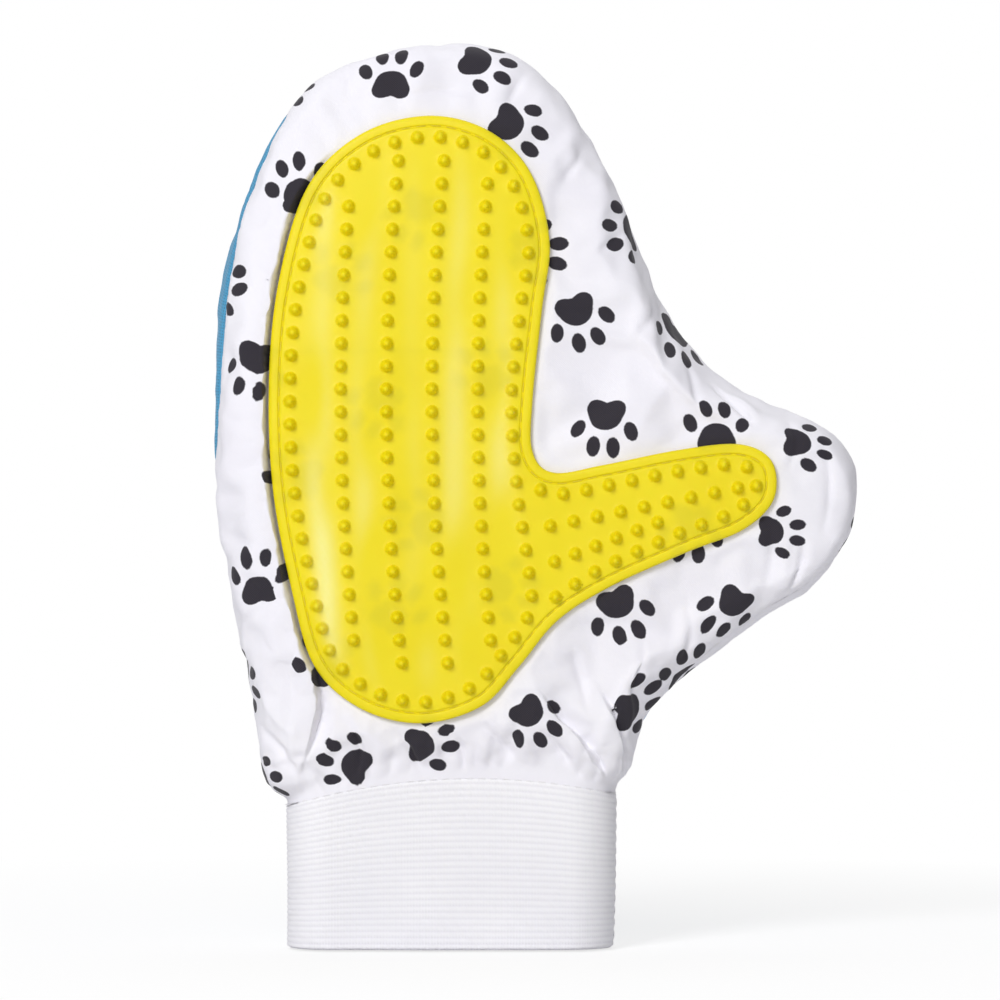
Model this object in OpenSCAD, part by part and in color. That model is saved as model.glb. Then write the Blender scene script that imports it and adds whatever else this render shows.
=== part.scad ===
/* [Mitt] */

// Height from the cuff mouth to the fingertips, mm
mitt_height = 240; // [220:1:290]
// Width across the hand and thumb, mm
mitt_width = 170; // [150:1:200]
// Room inside between the palm and the back, mm
cavity_depth = 28; // [24:1:36]
// Thickness of the shell fabric, mm
fabric = 1.2; // [0.8:0.1:1.6]
// How far in from the side seam the shell rounds over, mm
edge_round = 15; // [12:0.5:16]
// Gap that the side seam thread lies in, mm
seam_gap = 1; // [0.9:0.1:1.4]

/* [Cuff] */

// Width of the knitted cuff, mm
cuff_width = 88; // [76:1:100]
// Depth of the knitted cuff, front to back, mm
cuff_depth = 25; // [22:0.5:30]
// Height from the cuff mouth to the wrist fold, mm
cuff_height = 43; // [30:1:60]
// Wall of the folded knit, mm
cuff_wall = 1.8; // [1.2:0.1:3]
// Half the height of the gathered band at the wrist, mm
gather = 4.2; // [4:0.1:6]

/* [Rubber pad] */

// Width of the pad with its thumb arm, mm
pad_width = 133; // [110:1:140]
// Height of the pad, mm
pad_height = 160; // [130:1:170]
// Height of the pad's lower end above the wrist fold, mm
pad_rise = 17; // [16:1:26]
// Thickness of the pad between its nubs, mm
pad_base = 1.8; // [1.4:0.1:3]
// Width of the pad's plain rim, mm
rim_width = 2.4; // [1.8:0.1:3]
// Height of the rim above the rest of the pad, mm
rim_lift = 0.4; // [0.2:0.1:1]
// Width of the sewing groove inside the rim, mm
groove_width = 1.1; // [1:0.1:1.4]
// Depth of the sewing groove, mm
groove_depth = 0.9; // [0.6:0.1:1.2]

/* [Nubs] */

// Diameter of a nub at its foot, mm
nub_foot = 3.8; // [2.6:0.1:4.4]
// Diameter of a nub below its rounded end, mm
nub_neck = 2.2; // [1.4:0.1:2.6]
// Height of a nub above the pad, mm
nub_height = 3; // [2:0.1:5]
// Distance between nubs along a row, mm
nub_pitch = 6; // [5:0.1:8]
// Distance between the upright rows, mm
row_pitch = 12; // [10:0.5:14]
// How far the upright rows curve to the right 60 mm above and below their middle, mm
row_bow = 3; // [0:0.5:4]
// Distance of the border row from the pad's edge, mm
row_inset = 5.7; // [5.7:0.1:8]
// Distance of the border row of nubs on the thumb arm from the edge, mm
arm_inset = 5.5; // [5.4:0.1:7]

/* [Thread] */

// Diameter of the sewing thread, mm
thread = 0.6; // [0.4:0.1:0.7]
// Length of one stitch, mm
stitch = 2.6; // [2:0.1:3]
// Space between stitches, mm
stitch_space = 1.4; // [0.8:0.1:2]

/* [Folds] */

// Height of the finger fold above the wrist fold on a mitt 240 high, mm
finger_fold = 132; // [120:1:138]
// Sideways place of the thumb fold at the height of the wrist on a mitt 170 wide, mm
thumb_fold = 53; // [50:1:58]
// Lean of the thumb fold, in degrees from upright
thumb_lean = 9.5; // [6:0.5:12]
// Gap between pieces at a fold, mm
fold_gap = 0.4; // [0.3:0.1:0.8]

/* [Hidden] */

$fn = 48;

// Outline of the hand from the wrist up the little-finger side, over the tips and down round the thumb.
// Each point is [across, above the wrist fold] on a mitt 170 wide and 240 high.
hand_points = [
    [-52, 20], [-60, 65], [-63, 106], [-58, 148], [-46, 175], [-26, 191], [-3, 197],
    [15, 194], [30, 179.5], [44, 155.5], [57, 127], [66, 114.5], [84, 104], [101, 95.5], [107, 80],
    [101, 59], [78, 43.5], [60, 28.5], [50, 14]
];

// Outline of the pad as [across, above its lower end] at 133 wide and 160 high.
// From the top down the little-finger side and round the heel.
pad_outer = [
    [-6, 160], [-24, 155], [-38, 141], [-45.5, 116], [-48, 90], [-47, 62],
    [-42, 35], [-36, 15], [-24, 4], [-8, 0], [8, 4.5], [18, 15]
];
// Out along the thumb arm and back.
pad_arm = [
    [28, 27], [42, 36], [62, 45], [77, 51], [85, 59], [84.5, 69], [76, 73.5], [60, 72],
    [40, 68], [27, 66], [21.5, 71.5]
];
// Across the foot of the thumb arm, where the border row of the palm runs on.
pad_neck = [[26.5, 29], [25.5, 45], [23, 62]];
// Up the index-finger side.
pad_inner = [[21.5, 85], [24, 109], [26, 127], [21, 145], [10, 156]];
// Ends of the two short rows of nubs along the thumb arm.
arm_rows = [[[23, 51.4], [78.5, 62.6]], [[24.5, 41.6], [57, 54]]];
// Across place of the first upright row, how many there are, and their middle above the pad's lower end.
first_row = -29;
upright_rows = 4;
row_middle = 86;

wrist_z = cuff_height;
shell_height = mitt_height - wrist_z;
// How much wider and higher the hand is than its drawn outline. The folds keep their place on it.
hand_wide = mitt_width / 170;
hand_high = shell_height / 197;
fold_z = wrist_z + finger_fold * hand_high;
pad_z = wrist_z + pad_rise;
palm_y = cavity_depth / 2 + fabric;
field_y = palm_y + pad_base;
half_fold = fold_gap / 2;
// Height over which the wrist swells to the full depth of the palm.
swell = 12;
// Room between the gathered band and the pieces above and below it.
slip = 0.15;
// How deep a nub is rooted in the pad.
root = 0.3;
// Larger than anything in the mitt.
reach = 400;

function scaled(points, kx, kz) = [for (p = points) [p[0] * kx, p[1] * kz]];
function raised(points, dz) = [for (p = points) [p[0], p[1] + dz]];

// Smooth curve through four neighbouring points, between the middle two.
function blend_point(a, b, c, d, t) =
    0.5 * (2 * b + (c - a) * t + (2 * a - 5 * b + 4 * c - d) * t * t + (3 * b - a - 3 * c + d) * t * t * t);
function open_curve(p, n) =
    let (last = len(p) - 1)
    [for (i = [0 : last - 1]) for (k = [0 : n - 1])
        blend_point(p[max(i - 1, 0)], p[i], p[i + 1], p[min(i + 2, last)], k / n), p[last]];
function closed_curve(p, n) =
    let (m = len(p))
    [for (i = [0 : m - 1]) for (k = [0 : n - 1])
        blend_point(p[(i + m - 1) % m], p[i], p[(i + 1) % m], p[(i + 2) % m], k / n)];

// A curve moved sideways: to the left of its direction for a positive amount.
function left_of(v) = [-v[1], v[0]] / norm(v);
function open_inset(c, d) =
    let (last = len(c) - 1)
    [for (i = [0 : last]) c[i] + d * left_of(c[min(i + 1, last)] - c[max(i - 1, 0)])];
function closed_inset(c, d) =
    let (m = len(c))
    [for (i = [0 : m - 1]) c[i] + d * left_of(c[(i + 1) % m] - c[(i + m - 1) % m])];

// Lengths along a curve, and the point and heading at one length.
function step_after(c, i) = norm(c[min(i + 1, len(c) - 1)] - c[i]);
function track(c) = [for (i = 0, s = 0; i < len(c); s = s + step_after(c, i), i = i + 1) [s, c[i]]];
function track_end(t) = t[len(t) - 1][0];
function at_x(t, s) = lookup(s, [for (e = t) [e[0], e[1][0]]]);
function at_z(t, s) = lookup(s, [for (e = t) [e[0], e[1][1]]]);
function at(t, s) = [at_x(t, s), at_z(t, s)];
function spaced(c, pitch) =
    let (t = track(c), n = max(1, round(track_end(t) / pitch)))
    [for (i = [0 : n - 1]) at(t, (i + 0.5) * track_end(t) / n)];

// Distance from a point to a curve, and to the nearest of some points.
function share(p, a, b) = max(0, min(1, (p - a) * (b - a) / ((b - a) * (b - a))));
function side_gap(p, a, b) = norm(p - a - share(p, a, b) * (b - a));
function curve_gap(p, c) = min([for (i = [0 : len(c) - 2]) side_gap(p, c[i], c[i + 1])]);
function point_gap(p, others) = min([for (o = others) norm(p - o)]);

// Outlines of the outer face and the inner face of the shell, and of the seam between them.
function hand_curve(n) =
    open_curve(concat(
        [[-cuff_width / 2, wrist_z]],
        raised(scaled(hand_points, hand_wide, hand_high), wrist_z),
        [[cuff_width / 2, wrist_z]]
    ), n);
// The outline runs clockwise, so the inside is on its right.
function inner_curve(n) = open_inset(hand_curve(n), -fabric);
function seam_curve(n) = open_inset(hand_curve(n), -fabric / 2);

// Place of the thumb fold at a height.
function thumb_x(z) = thumb_fold * hand_wide + (z - wrist_z) * tan(thumb_lean);

// One rounded face of the shell: its outline split at the tips, its depth and its rounding.
function top_index(c) = let (z = [for (p = c) p[1]]) search(max(z), z)[0];
function left_side(c) = [for (i = [0 : top_index(c)]) [c[i][1], c[i][0]]];
function right_side(c) = [for (i = [top_index(c) : len(c) - 1]) [c[i][1], c[i][0]]];
function ease(t) = let (u = max(0, min(1, t))) u * u * (3 - 2 * u);
function swelling(z, low, high) = low + (high - low) * ease((z - wrist_z - gather / 2) / swell);
function half_depth(z, skin) = swelling(z, cuff_depth / 2, palm_y) - skin;
function rounding(z, skin) = swelling(z, cuff_depth / 2, edge_round) - skin;
function bulge(p, c, skin) =
    let (t = min(1, curve_gap(p, c) / rounding(p[1], skin)))
    seam_gap / 2 + (half_depth(p[1], skin) - seam_gap / 2) * sqrt(1 - (1 - t) * (1 - t));

// Rows of a face as [height, from, to], crowded where it rounds over.
function crowded(t) = (1 - cos(180 * t)) / 2;
function palm_rows(c, n) =
    let (l = left_side(c), r = right_side(c), low = wrist_z + gather, high = fold_z - half_fold)
    [for (i = [0 : n]) let (z = low + (high - low) * i / n)
        [z, lookup(z, l), min(lookup(z, r), thumb_x(z) - half_fold)]];
function finger_rows(c, n) =
    let (l = left_side(c), r = right_side(c), low = fold_z + half_fold, high = c[top_index(c)][1] - 0.3)
    [for (i = [0 : n]) let (z = low + (high - low) * sin(90 * i / n)) [z, lookup(z, l), lookup(z, r)]];
function thumb_ends(r) =
    [for (i = [0 : len(r) - 2])
        let (a = r[i][1] - thumb_x(r[i][0]) - half_fold, b = r[i + 1][1] - thumb_x(r[i + 1][0]) - half_fold)
        if ((a > 0) != (b > 0)) r[i][0] + (r[i + 1][0] - r[i][0]) * a / (a - b)];
function thumb_rows(c, n) =
    let (r = right_side(c), ends = thumb_ends(r), low = min(ends) + 0.4, high = max(ends) - 0.4)
    [for (i = [0 : n]) let (z = low + (high - low) * (crowded(i / n) + i / n) / 2)
        [z, thumb_x(z) + half_fold, lookup(z, r)]];

// The row at the very tips, where there is one, is drawn in almost to the seam.
function tip_bulge(t) = seam_gap / 2 + 0.4 * sin(180 * t);
function face_points(rows, c, skin, n, tips) =
    [for (i = [0 : len(rows) - 1]) for (j = [0 : n])
        let (r = rows[i], x = r[1] + (r[2] - r[1]) * crowded(j / n))
        [x, -(tips && i == len(rows) - 1 ? tip_bulge(j / n) : bulge([x, r[0]], c, skin)), r[0]]];

// A closed skin between an outer and an inner face with the same rows and columns.
module skin_between(outer, inner, n, m) {
    w = m + 1;
    k = (n + 1) * w;
    faces = concat(
        [for (i = [0 : n - 1]) for (j = [0 : m - 1]) let (a = i * w + j) each
            [[a, a + w, a + w + 1], [a, a + w + 1, a + 1],
             [k + a, k + a + w + 1, k + a + w], [k + a, k + a + 1, k + a + w + 1]]],
        [for (i = [0 : n - 1]) let (a = i * w, d = a + m) each
            [[a + w, a, k + a], [a + w, k + a, k + a + w], [d, d + w, k + d + w], [d, k + d + w, k + d]]],
        [for (j = [0 : m - 1]) let (a = j, b = n * w + j) each
            [[a, a + 1, k + a + 1], [a, k + a + 1, k + a], [b + 1, b, k + b], [b + 1, k + b, k + b + 1]]]
    );
    polyhedron(concat(outer, inner), faces);
}

module palm_half() {
    out = hand_curve(6);
    ins = inner_curve(6);
    skin_between(
        face_points(palm_rows(out, 20), out, 0, 18, false),
        face_points(palm_rows(ins, 20), ins, fabric, 18, false), 20, 18);
}

module finger_half() {
    out = hand_curve(6);
    ins = inner_curve(6);
    skin_between(
        face_points(finger_rows(out, 12), out, 0, 18, true),
        face_points(finger_rows(ins, 12), ins, fabric, 18, true), 12, 18);
}

module thumb_half() {
    out = hand_curve(6);
    ins = inner_curve(6);
    skin_between(
        face_points(thumb_rows(out, 18), out, 0, 10, false),
        face_points(thumb_rows(ins, 18), ins, fabric, 10, false), 18, 10);
}

// Areas of the front that belong to the palm, the fingers and the thumb.
function palm_area() = [
    [-reach, 0], [thumb_x(0) - half_fold, 0], [thumb_x(fold_z) - half_fold, fold_z - half_fold],
    [-reach, fold_z - half_fold]
];
function finger_area() = [
    [-reach, fold_z + half_fold], [reach, fold_z + half_fold], [reach, reach], [-reach, reach]
];
function thumb_area() = [
    [thumb_x(0) + half_fold, 0], [reach, 0], [reach, fold_z - half_fold],
    [thumb_x(fold_z) + half_fold, fold_z - half_fold]
];

// How far a point lies inside the palm's, the fingers' or the thumb's area.
function palm_depth(p) = min(thumb_x(p[1]) - p[0], fold_z - p[1]) - half_fold;
function finger_depth(p) = p[1] - fold_z - half_fold;
function thumb_depth(p) = min(p[0] - thumb_x(p[1]), fold_z - p[1]) - half_fold;

// Curves of the pad and the places of its nubs and stitches.
function placed(points) = raised(scaled(points, pad_width / 133, pad_height / 160), pad_z);
function pad_curve() = closed_curve(placed(concat(pad_outer, pad_arm, pad_inner)), 4);
function looped(c) = concat(c, [c[0]]);
function palm_curve() = closed_curve(placed(concat(pad_outer, pad_neck, pad_inner)), 4);
function palm_ring() = looped(closed_inset(palm_curve(), row_inset));
function arm_ring() = open_inset(open_curve(placed(pad_arm), 6), arm_inset);
function clear_of(points, others, gap) = [for (p = points) if (point_gap(p, others) > gap) p];
function upright_points() =
    [for (i = [0 : upright_rows - 1]) for (k = [-30 : 30])
        let (z = fold_z + (k + 0.5) * nub_pitch)
        [first_row + i * row_pitch + row_bow * pow((z - pad_z - row_middle) / 60, 2), z]];
function within(points, c) = [for (p = points) if (inside(p, c)) p];
// A point is inside a closed curve if the curve passes an odd number of times to its right.
function passes_right(p, a, b) =
    (a[1] > p[1]) != (b[1] > p[1]) && p[0] < a[0] + (b[0] - a[0]) * (p[1] - a[1]) / (b[1] - a[1]);
function inside(p, c) = len([for (i = [0 : len(c) - 2]) if (passes_right(p, c[i], c[i + 1])) 1]) % 2 == 1;
function nub_points() =
    let (ring = spaced(palm_ring(), nub_pitch),
         rows = clear_of(within(upright_points(), palm_ring()), ring, 0.8 * nub_pitch),
         border = clear_of(spaced(arm_ring(), nub_pitch), ring, 0.8 * nub_pitch),
         lines = [for (r = arm_rows) each spaced(placed(r), nub_pitch)])
    concat(ring, rows, border, clear_of(lines, concat(ring, border), 0.7 * nub_pitch));
function groove_curve() = looped(closed_inset(pad_curve(), rim_width + groove_width / 2));

// Turns something drawn flat, across and up, to stand on the palm and face forwards.
module on_palm(y) {
    translate([0, -y, 0]) rotate([90, 0, 0]) children();
}

// A nub is a blunt cone with a low rounded end.
module nub() {
    end = nub_neck * 0.3;
    translate([0, 0, -root]) cylinder(d1 = nub_foot, d2 = nub_neck, h = nub_height + root - end);
    translate([0, 0, nub_height - end]) cylinder(d1 = nub_neck, d2 = nub_neck * 0.5, h = end);
}

// The part of the rubber pad that lies in one area. Only the nubs that stand on a fold are cut.
module pad_part(area, whole_nubs, cut_nubs) {
    edge = pad_curve();
    difference() {
        on_palm(palm_y) linear_extrude(pad_base + rim_lift) intersection() {
            polygon(edge);
            polygon(area);
        }
        on_palm(field_y) linear_extrude(reach) polygon(closed_inset(edge, rim_width));
        on_palm(field_y - groove_depth) linear_extrude(reach) difference() {
            polygon(closed_inset(edge, rim_width));
            polygon(closed_inset(edge, rim_width + groove_width));
        }
    }
    for (p = whole_nubs) {
        on_palm(field_y) translate(p) nub();
    }
    intersection() {
        on_palm(0) linear_extrude(reach) polygon(area);
        for (p = cut_nubs) {
            on_palm(field_y) translate(p) nub();
        }
    }
}

// One straight stitch with its middle at a point and its length along a direction.
module stitch_at(x, y, z, dx, dz) {
    translate([x, y, z]) rotate([0, atan2(dx, dz), 0]) cylinder(d = thread, h = stitch, center = true);
}

// Stitches in the pad's groove as [point, heading].
function pad_stitches() =
    let (t = track(groove_curve()), n = floor(track_end(t) / (stitch + stitch_space)))
    [for (i = [0 : n - 1]) let (s = (i + 0.5) * track_end(t) / n)
        [at(t, s), at(t, s + stitch / 2) - at(t, s - stitch / 2)]];

module stitch_row(stitches) {
    y = -(field_y - groove_depth + thread / 2 + 0.02);
    for (s = stitches) {
        stitch_at(s[0][0], y, s[0][1], s[1][0], s[1][1]);
    }
}

// A thread along part of the side seam, between two lengths.
module seam_run(t, from, to) {
    n = max(1, round((to - from) / 6));
    m = 6;
    path = [for (i = [0 : n]) at(t, from + (to - from) * i / n)];
    out = [for (i = [0 : n]) left_of(path[min(i + 1, n)] - path[max(i - 1, 0)])];
    r = thread / 2;
    points = [for (i = [0 : n]) for (k = [0 : m - 1]) let (q = path[i] + r * cos(360 * k / m) * out[i])
        [q[0], r * sin(360 * k / m), q[1]]];
    faces = concat(
        [for (i = [0 : n - 1]) for (k = [0 : m - 1]) let (a = i * m + k, b = i * m + (k + 1) % m) each
            [[a, b, b + m], [a, b + m, a + m]]],
        [[for (k = [m - 1 : -1 : 0]) k], [for (k = [0 : m - 1]) n * m + k]]
    );
    polyhedron(points, faces);
}

// Lengths along the seam where it passes a fold, for a measure that changes sign there.
function passes(t, f) =
    [for (i = [0 : len(t) - 2]) if ((f[i] > 0) != (f[i + 1] > 0))
        t[i][0] + (t[i + 1][0] - t[i][0]) * f[i] / (f[i] - f[i + 1])];
function finger_passes(t) = passes(t, [for (e = t) e[1][1] - fold_z]);
function thumb_passes(t) = passes(t, [for (e = t) e[1][0] - thumb_x(e[1][1])]);

// Knitted oval seen from the mouth.
module oval(w, d) {
    square([w - d, d], center = true);
    for (side = [-1, 1]) {
        translate([side * (w - d) / 2, 0]) circle(d = d);
    }
}

module oval_band(z, h, wall) {
    translate([0, 0, z]) linear_extrude(h) difference() {
        oval(cuff_width, cuff_depth);
        oval(cuff_width - 2 * wall, cuff_depth - 2 * wall);
    }
}

module palm_panel() {
    color("white") palm_half();
}

module back_panel() {
    color("steelblue") mirror([0, 1, 0]) palm_half();
}

module palm_pad() {
    nubs = nub_points();
    r = nub_foot / 2;
    color("gold") pad_part(palm_area(),
        [for (p = nubs) if (palm_depth(p) > r) p],
        [for (p = nubs) if (abs(palm_depth(p)) <= r) p]);
}

module palm_pad_stitching() {
    color("khaki") stitch_row([for (s = pad_stitches()) if (palm_depth(s[0]) > 0.6 * stitch) s]);
}

module palm_side_seam() {
    t = track(seam_curve(6));
    f = finger_passes(t);
    h = thumb_passes(t);
    color("lightgray") {
        seam_run(t, gather, f[0] - half_fold);
        seam_run(t, f[1] + half_fold, h[0] - 1);
        seam_run(t, h[1] + 1, track_end(t) - gather);
    }
}

module wrist_gather() {
    color("whitesmoke") oval_band(wrist_z - gather + slip, 2 * (gather - slip), fabric);
}

module finger_panel() {
    color("white") finger_half();
}

module finger_back() {
    color("steelblue") mirror([0, 1, 0]) finger_half();
}

module finger_pad() {
    nubs = nub_points();
    r = nub_foot / 2;
    color("gold") pad_part(finger_area(),
        [for (p = nubs) if (finger_depth(p) > r) p],
        [for (p = nubs) if (abs(finger_depth(p)) <= r) p]);
}

module finger_pad_stitching() {
    color("khaki") stitch_row([for (s = pad_stitches()) if (finger_depth(s[0]) > 0.6 * stitch) s]);
}

module finger_side_seam() {
    t = track(seam_curve(6));
    f = finger_passes(t);
    color("lightgray") seam_run(t, f[0] + half_fold, f[1] - half_fold);
}

module thumb_panel() {
    color("white") thumb_half();
}

module thumb_back() {
    color("white") mirror([0, 1, 0]) thumb_half();
}

module thumb_pad() {
    nubs = nub_points();
    r = nub_foot / 2;
    color("gold") pad_part(thumb_area(),
        [for (p = nubs) if (thumb_depth(p) > r) p],
        [for (p = nubs) if (abs(thumb_depth(p)) <= r) p]);
}

module thumb_pad_stitching() {
    color("khaki") stitch_row([for (s = pad_stitches()) if (thumb_depth(s[0]) > 0.6 * stitch) s]);
}

module thumb_side_seam() {
    t = track(seam_curve(6));
    h = thumb_passes(t);
    color("lightgray") seam_run(t, h[0] + 1, h[1] - 1);
}

module cuff_knit() {
    color("whitesmoke") oval_band(0, wrist_z - gather, cuff_wall);
}

// Stitches that hold the shell to the cuff, round the cuff's upper edge.
module cuff_join_seam() {
    step = stitch + stitch_space;
    z = wrist_z - gather - 1.5;
    run = (cuff_width - cuff_depth) / 2;
    n = floor(2 * run / step);
    r = cuff_depth / 2 + thread / 2 + 0.05;
    turns = floor(180 / (step / r * 180 / PI));
    color("lightgray") {
        for (side = [-1, 1]) {
            for (i = [0 : n - 1]) {
                stitch_at((i + 0.5 - n / 2) * 2 * run / n, side * r, z, 1, 0);
            }
            for (i = [0 : turns - 1]) {
                translate([side * run, 0, z])
                    rotate([0, 0, (i + 0.5) * 180 / turns - 90])
                    translate([side * r, 0, 0])
                    rotate([90, 0, 0])
                    cylinder(d = thread, h = stitch, center = true);
            }
        }
    }
}

// Stitches that close the knit into a tube, up its thumb side.
module cuff_closing_seam() {
    step = stitch + stitch_space;
    low = 1.5;
    n = floor((wrist_z - gather - 3 - low) / step);
    color("lightgray") for (i = [0 : n - 1]) {
        stitch_at(cuff_width / 2 + thread / 2 + 0.05, 0, low + (i + 0.5) * step, 0, 1);
    }
}

palm_panel();
back_panel();
palm_pad();
palm_pad_stitching();
palm_side_seam();
wrist_gather();
finger_panel();
finger_back();
finger_pad();
finger_pad_stitching();
finger_side_seam();
thumb_panel();
thumb_back();
thumb_pad();
thumb_pad_stitching();
thumb_side_seam();
cuff_knit();
cuff_join_seam();
cuff_closing_seam();
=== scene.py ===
"""Looks of a grooming mitt: printed cotton front, rubber nub pad, blue knit back and ribbed knit cuff.

Shapes are worked out in millimetres (x across, y depth with the palm at -y, z up) and become metres when a
mesh is made.
"""

import logging
import math
from dataclasses import dataclass, field
from enum import Enum

import bpy
import numpy as np
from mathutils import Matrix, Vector
from mathutils.geometry import delaunay_2d_cdt

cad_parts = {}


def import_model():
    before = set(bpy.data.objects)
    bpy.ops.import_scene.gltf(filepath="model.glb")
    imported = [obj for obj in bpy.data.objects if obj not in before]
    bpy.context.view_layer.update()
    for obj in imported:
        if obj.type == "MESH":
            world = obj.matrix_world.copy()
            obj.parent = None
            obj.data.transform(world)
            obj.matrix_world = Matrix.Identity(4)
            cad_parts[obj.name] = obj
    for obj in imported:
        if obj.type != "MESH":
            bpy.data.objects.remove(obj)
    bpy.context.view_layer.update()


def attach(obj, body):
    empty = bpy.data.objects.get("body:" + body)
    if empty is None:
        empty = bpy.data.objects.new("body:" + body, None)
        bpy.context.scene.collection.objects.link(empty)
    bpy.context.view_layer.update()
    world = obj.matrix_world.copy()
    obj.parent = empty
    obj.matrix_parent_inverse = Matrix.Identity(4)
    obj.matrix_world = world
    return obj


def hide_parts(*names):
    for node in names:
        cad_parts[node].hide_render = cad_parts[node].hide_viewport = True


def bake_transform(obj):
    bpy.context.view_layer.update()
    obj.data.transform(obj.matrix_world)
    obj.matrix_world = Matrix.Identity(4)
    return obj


LOG = logging.getLogger("mitt")
MM = 0.001
TAU = 2 * math.pi
Array = np.ndarray
Points = tuple[tuple[float, float], ...]
# Points compared at a time, which keeps the tables of distances small.
CHUNK = 2000


class Side(Enum):
    """The two faces of the mitt, as the sign of the depth they bulge to."""

    FRONT = -1
    BACK = 1


class Slot(Enum):
    """Material slots of the pieces."""

    COTTON = "printed_cotton"
    BLUE = "blue_knit"
    RUBBER = "yellow_rubber"
    PAD_THREAD = "yellow_thread"
    SEAM_THREAD = "white_thread"
    RIB = "rib_knit"


# Curves and flat geometry


def ease(t: Array) -> Array:
    """Smooth step from 0 to 1, over values from 0 to 1."""
    u = np.clip(t, 0.0, 1.0)
    return u * u * (3 - 2 * u)


def smooth_curve(points: Points, closed: bool, n: int = 12) -> Array:
    """Catmull-Rom curve.

    Args:
        points: points it passes through.
        closed: whether it comes back to its first point.
        n: steps between two points.
    Returns:
        The curve's points; a closed one doesn't repeat its first.
    """
    p = np.array(points, float)
    m = len(p)
    t = (np.arange(n) / n)[:, None]
    runs = []
    for i in range(m if closed else m - 1):
        ids = [i - 1, i, i + 1, i + 2]
        a, b, c, d = (p[k % m] if closed else p[min(max(k, 0), m - 1)] for k in ids)
        square, cube = 2 * a - 5 * b + 4 * c - d, 3 * b - a - 3 * c + d
        runs.append(0.5 * (2 * b + (c - a) * t + square * t**2 + cube * t**3))
    return np.vstack(runs if closed else runs + [p[-1:]])


def arc_lengths(curve: Array) -> Array:
    """Length along an open curve at each of its points."""
    return np.concatenate([[0.0], np.cumsum(np.linalg.norm(np.diff(curve, axis=0), axis=1))])


def along(curve: Array, values: Array, at: Array) -> Array:
    """Values of a curve's points read at some lengths.

    Args:
        curve: points of an open curve.
        values: a row of values for each point.
        at: lengths along the curve.
    Returns:
        A row of values for each length.
    """
    s = arc_lengths(curve)
    v = values.reshape(len(curve), -1)
    return np.stack([np.interp(at, s, v[:, k]) for k in range(v.shape[1])], axis=1)


def looped(curve: Array) -> Array:
    """A closed curve with its first point repeated at its end."""
    return np.vstack([curve, curve[:1]])


def resample(curve: Array, step: float, closed: bool) -> Array:
    """Even points along a curve.

    Args:
        curve: points of the curve.
        step: wished distance between two points.
        closed: whether the curve comes back to its first point.
    Returns:
        The new points; a closed curve's first isn't repeated.
    """
    c = looped(curve) if closed else curve
    total = arc_lengths(c)[-1]
    n = max(3, round(total / step))
    at = np.linspace(0, total, n + 1)
    return along(c, c, at[:-1] if closed else at)


def middles(curve: Array, pitch: float) -> Array:
    """Points spread along an open curve at about a pitch, half a pitch from its ends.

    Args:
        curve: points of the curve.
        pitch: wished distance.
    Returns:
        The points.
    """
    total = arc_lengths(curve)[-1]
    n = max(1, round(total / pitch))
    return along(curve, curve, (np.arange(n) + 0.5) * total / n)


def left_of(curve: Array, closed: bool) -> Array:
    """Unit vectors to the left of a curve's heading.

    Args:
        curve: points of the curve.
        closed: whether it comes back to its first point.
    Returns:
        A vector for each point.
    """
    if closed:
        t = np.roll(curve, -1, axis=0) - np.roll(curve, 1, axis=0)
    else:
        t = np.gradient(curve, axis=0)
    n = np.stack([-t[:, 1], t[:, 0]], axis=1)
    return n / np.linalg.norm(n, axis=1, keepdims=True)


def nearest(points: Array, curve: Array) -> tuple[Array, Array, Array]:
    """Nearest place on an open curve.

    Args:
        points: points to measure from.
        curve: points of the curve.
    Returns:
        The distance, the place, and the fractional index along the curve, for each point.
    """
    a, b = curve[:-1], curve[1:]
    d = b - a
    dd = (d * d).sum(1)
    gap, foot, index = np.empty(len(points)), np.empty((len(points), 2)), np.empty(len(points))
    for lo in range(0, len(points), CHUNK):
        p = points[lo : lo + CHUNK]
        t = np.clip(((p[:, None] - a) * d).sum(2) / dd, 0, 1)
        f = a + t[..., None] * d
        g = ((p[:, None] - f) ** 2).sum(2)
        k = g.argmin(1)
        rows = np.arange(len(p))
        gap[lo : lo + CHUNK] = np.sqrt(g[rows, k])
        foot[lo : lo + CHUNK] = f[rows, k]
        index[lo : lo + CHUNK] = k + t[rows, k]
    return gap, foot, index


def inside(points: Array, loop: Array) -> Array:
    """Which points lie inside a closed curve.

    Args:
        points: points to test.
        loop: points of the closed curve.
    Returns:
        True where a point is inside.
    """
    a, b = loop, np.roll(loop, -1, axis=0)
    out = np.zeros(len(points), bool)
    for lo in range(0, len(points), CHUNK):
        p = points[lo : lo + CHUNK]
        x, z = p[:, :1], p[:, 1:]
        span = (a[:, 1] > z) != (b[:, 1] > z)
        rise = np.where(b[:, 1] == a[:, 1], 1.0, b[:, 1] - a[:, 1])
        crossing = a[:, 0] + (b[:, 0] - a[:, 0]) * (z - a[:, 1]) / rise
        out[lo : lo + CHUNK] = (span & (x < crossing)).sum(1) % 2 == 1
    return out


def depth_inside(points: Array, loop: Array) -> Array:
    """How deep points lie inside a closed curve, negative outside it."""
    gap = nearest(points, looped(loop))[0]
    return np.where(inside(points, loop), gap, -gap)


def hex_grid(loop: Array, step: float) -> Array:
    """Points of an even triangle grid over a closed curve's box.

    Args:
        loop: points of the closed curve.
        step: distance between points.
    Returns:
        The grid's points.
    """
    lo, hi = loop.min(0) - step, loop.max(0) + step
    xs, zs = np.arange(lo[0], hi[0], step), np.arange(lo[1], hi[1], step * math.sqrt(0.75))
    x, z = np.meshgrid(xs, zs)
    x = x + (np.arange(len(zs)) % 2)[:, None] * step / 2
    return np.stack([x.ravel(), z.ravel()], axis=1)


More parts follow.
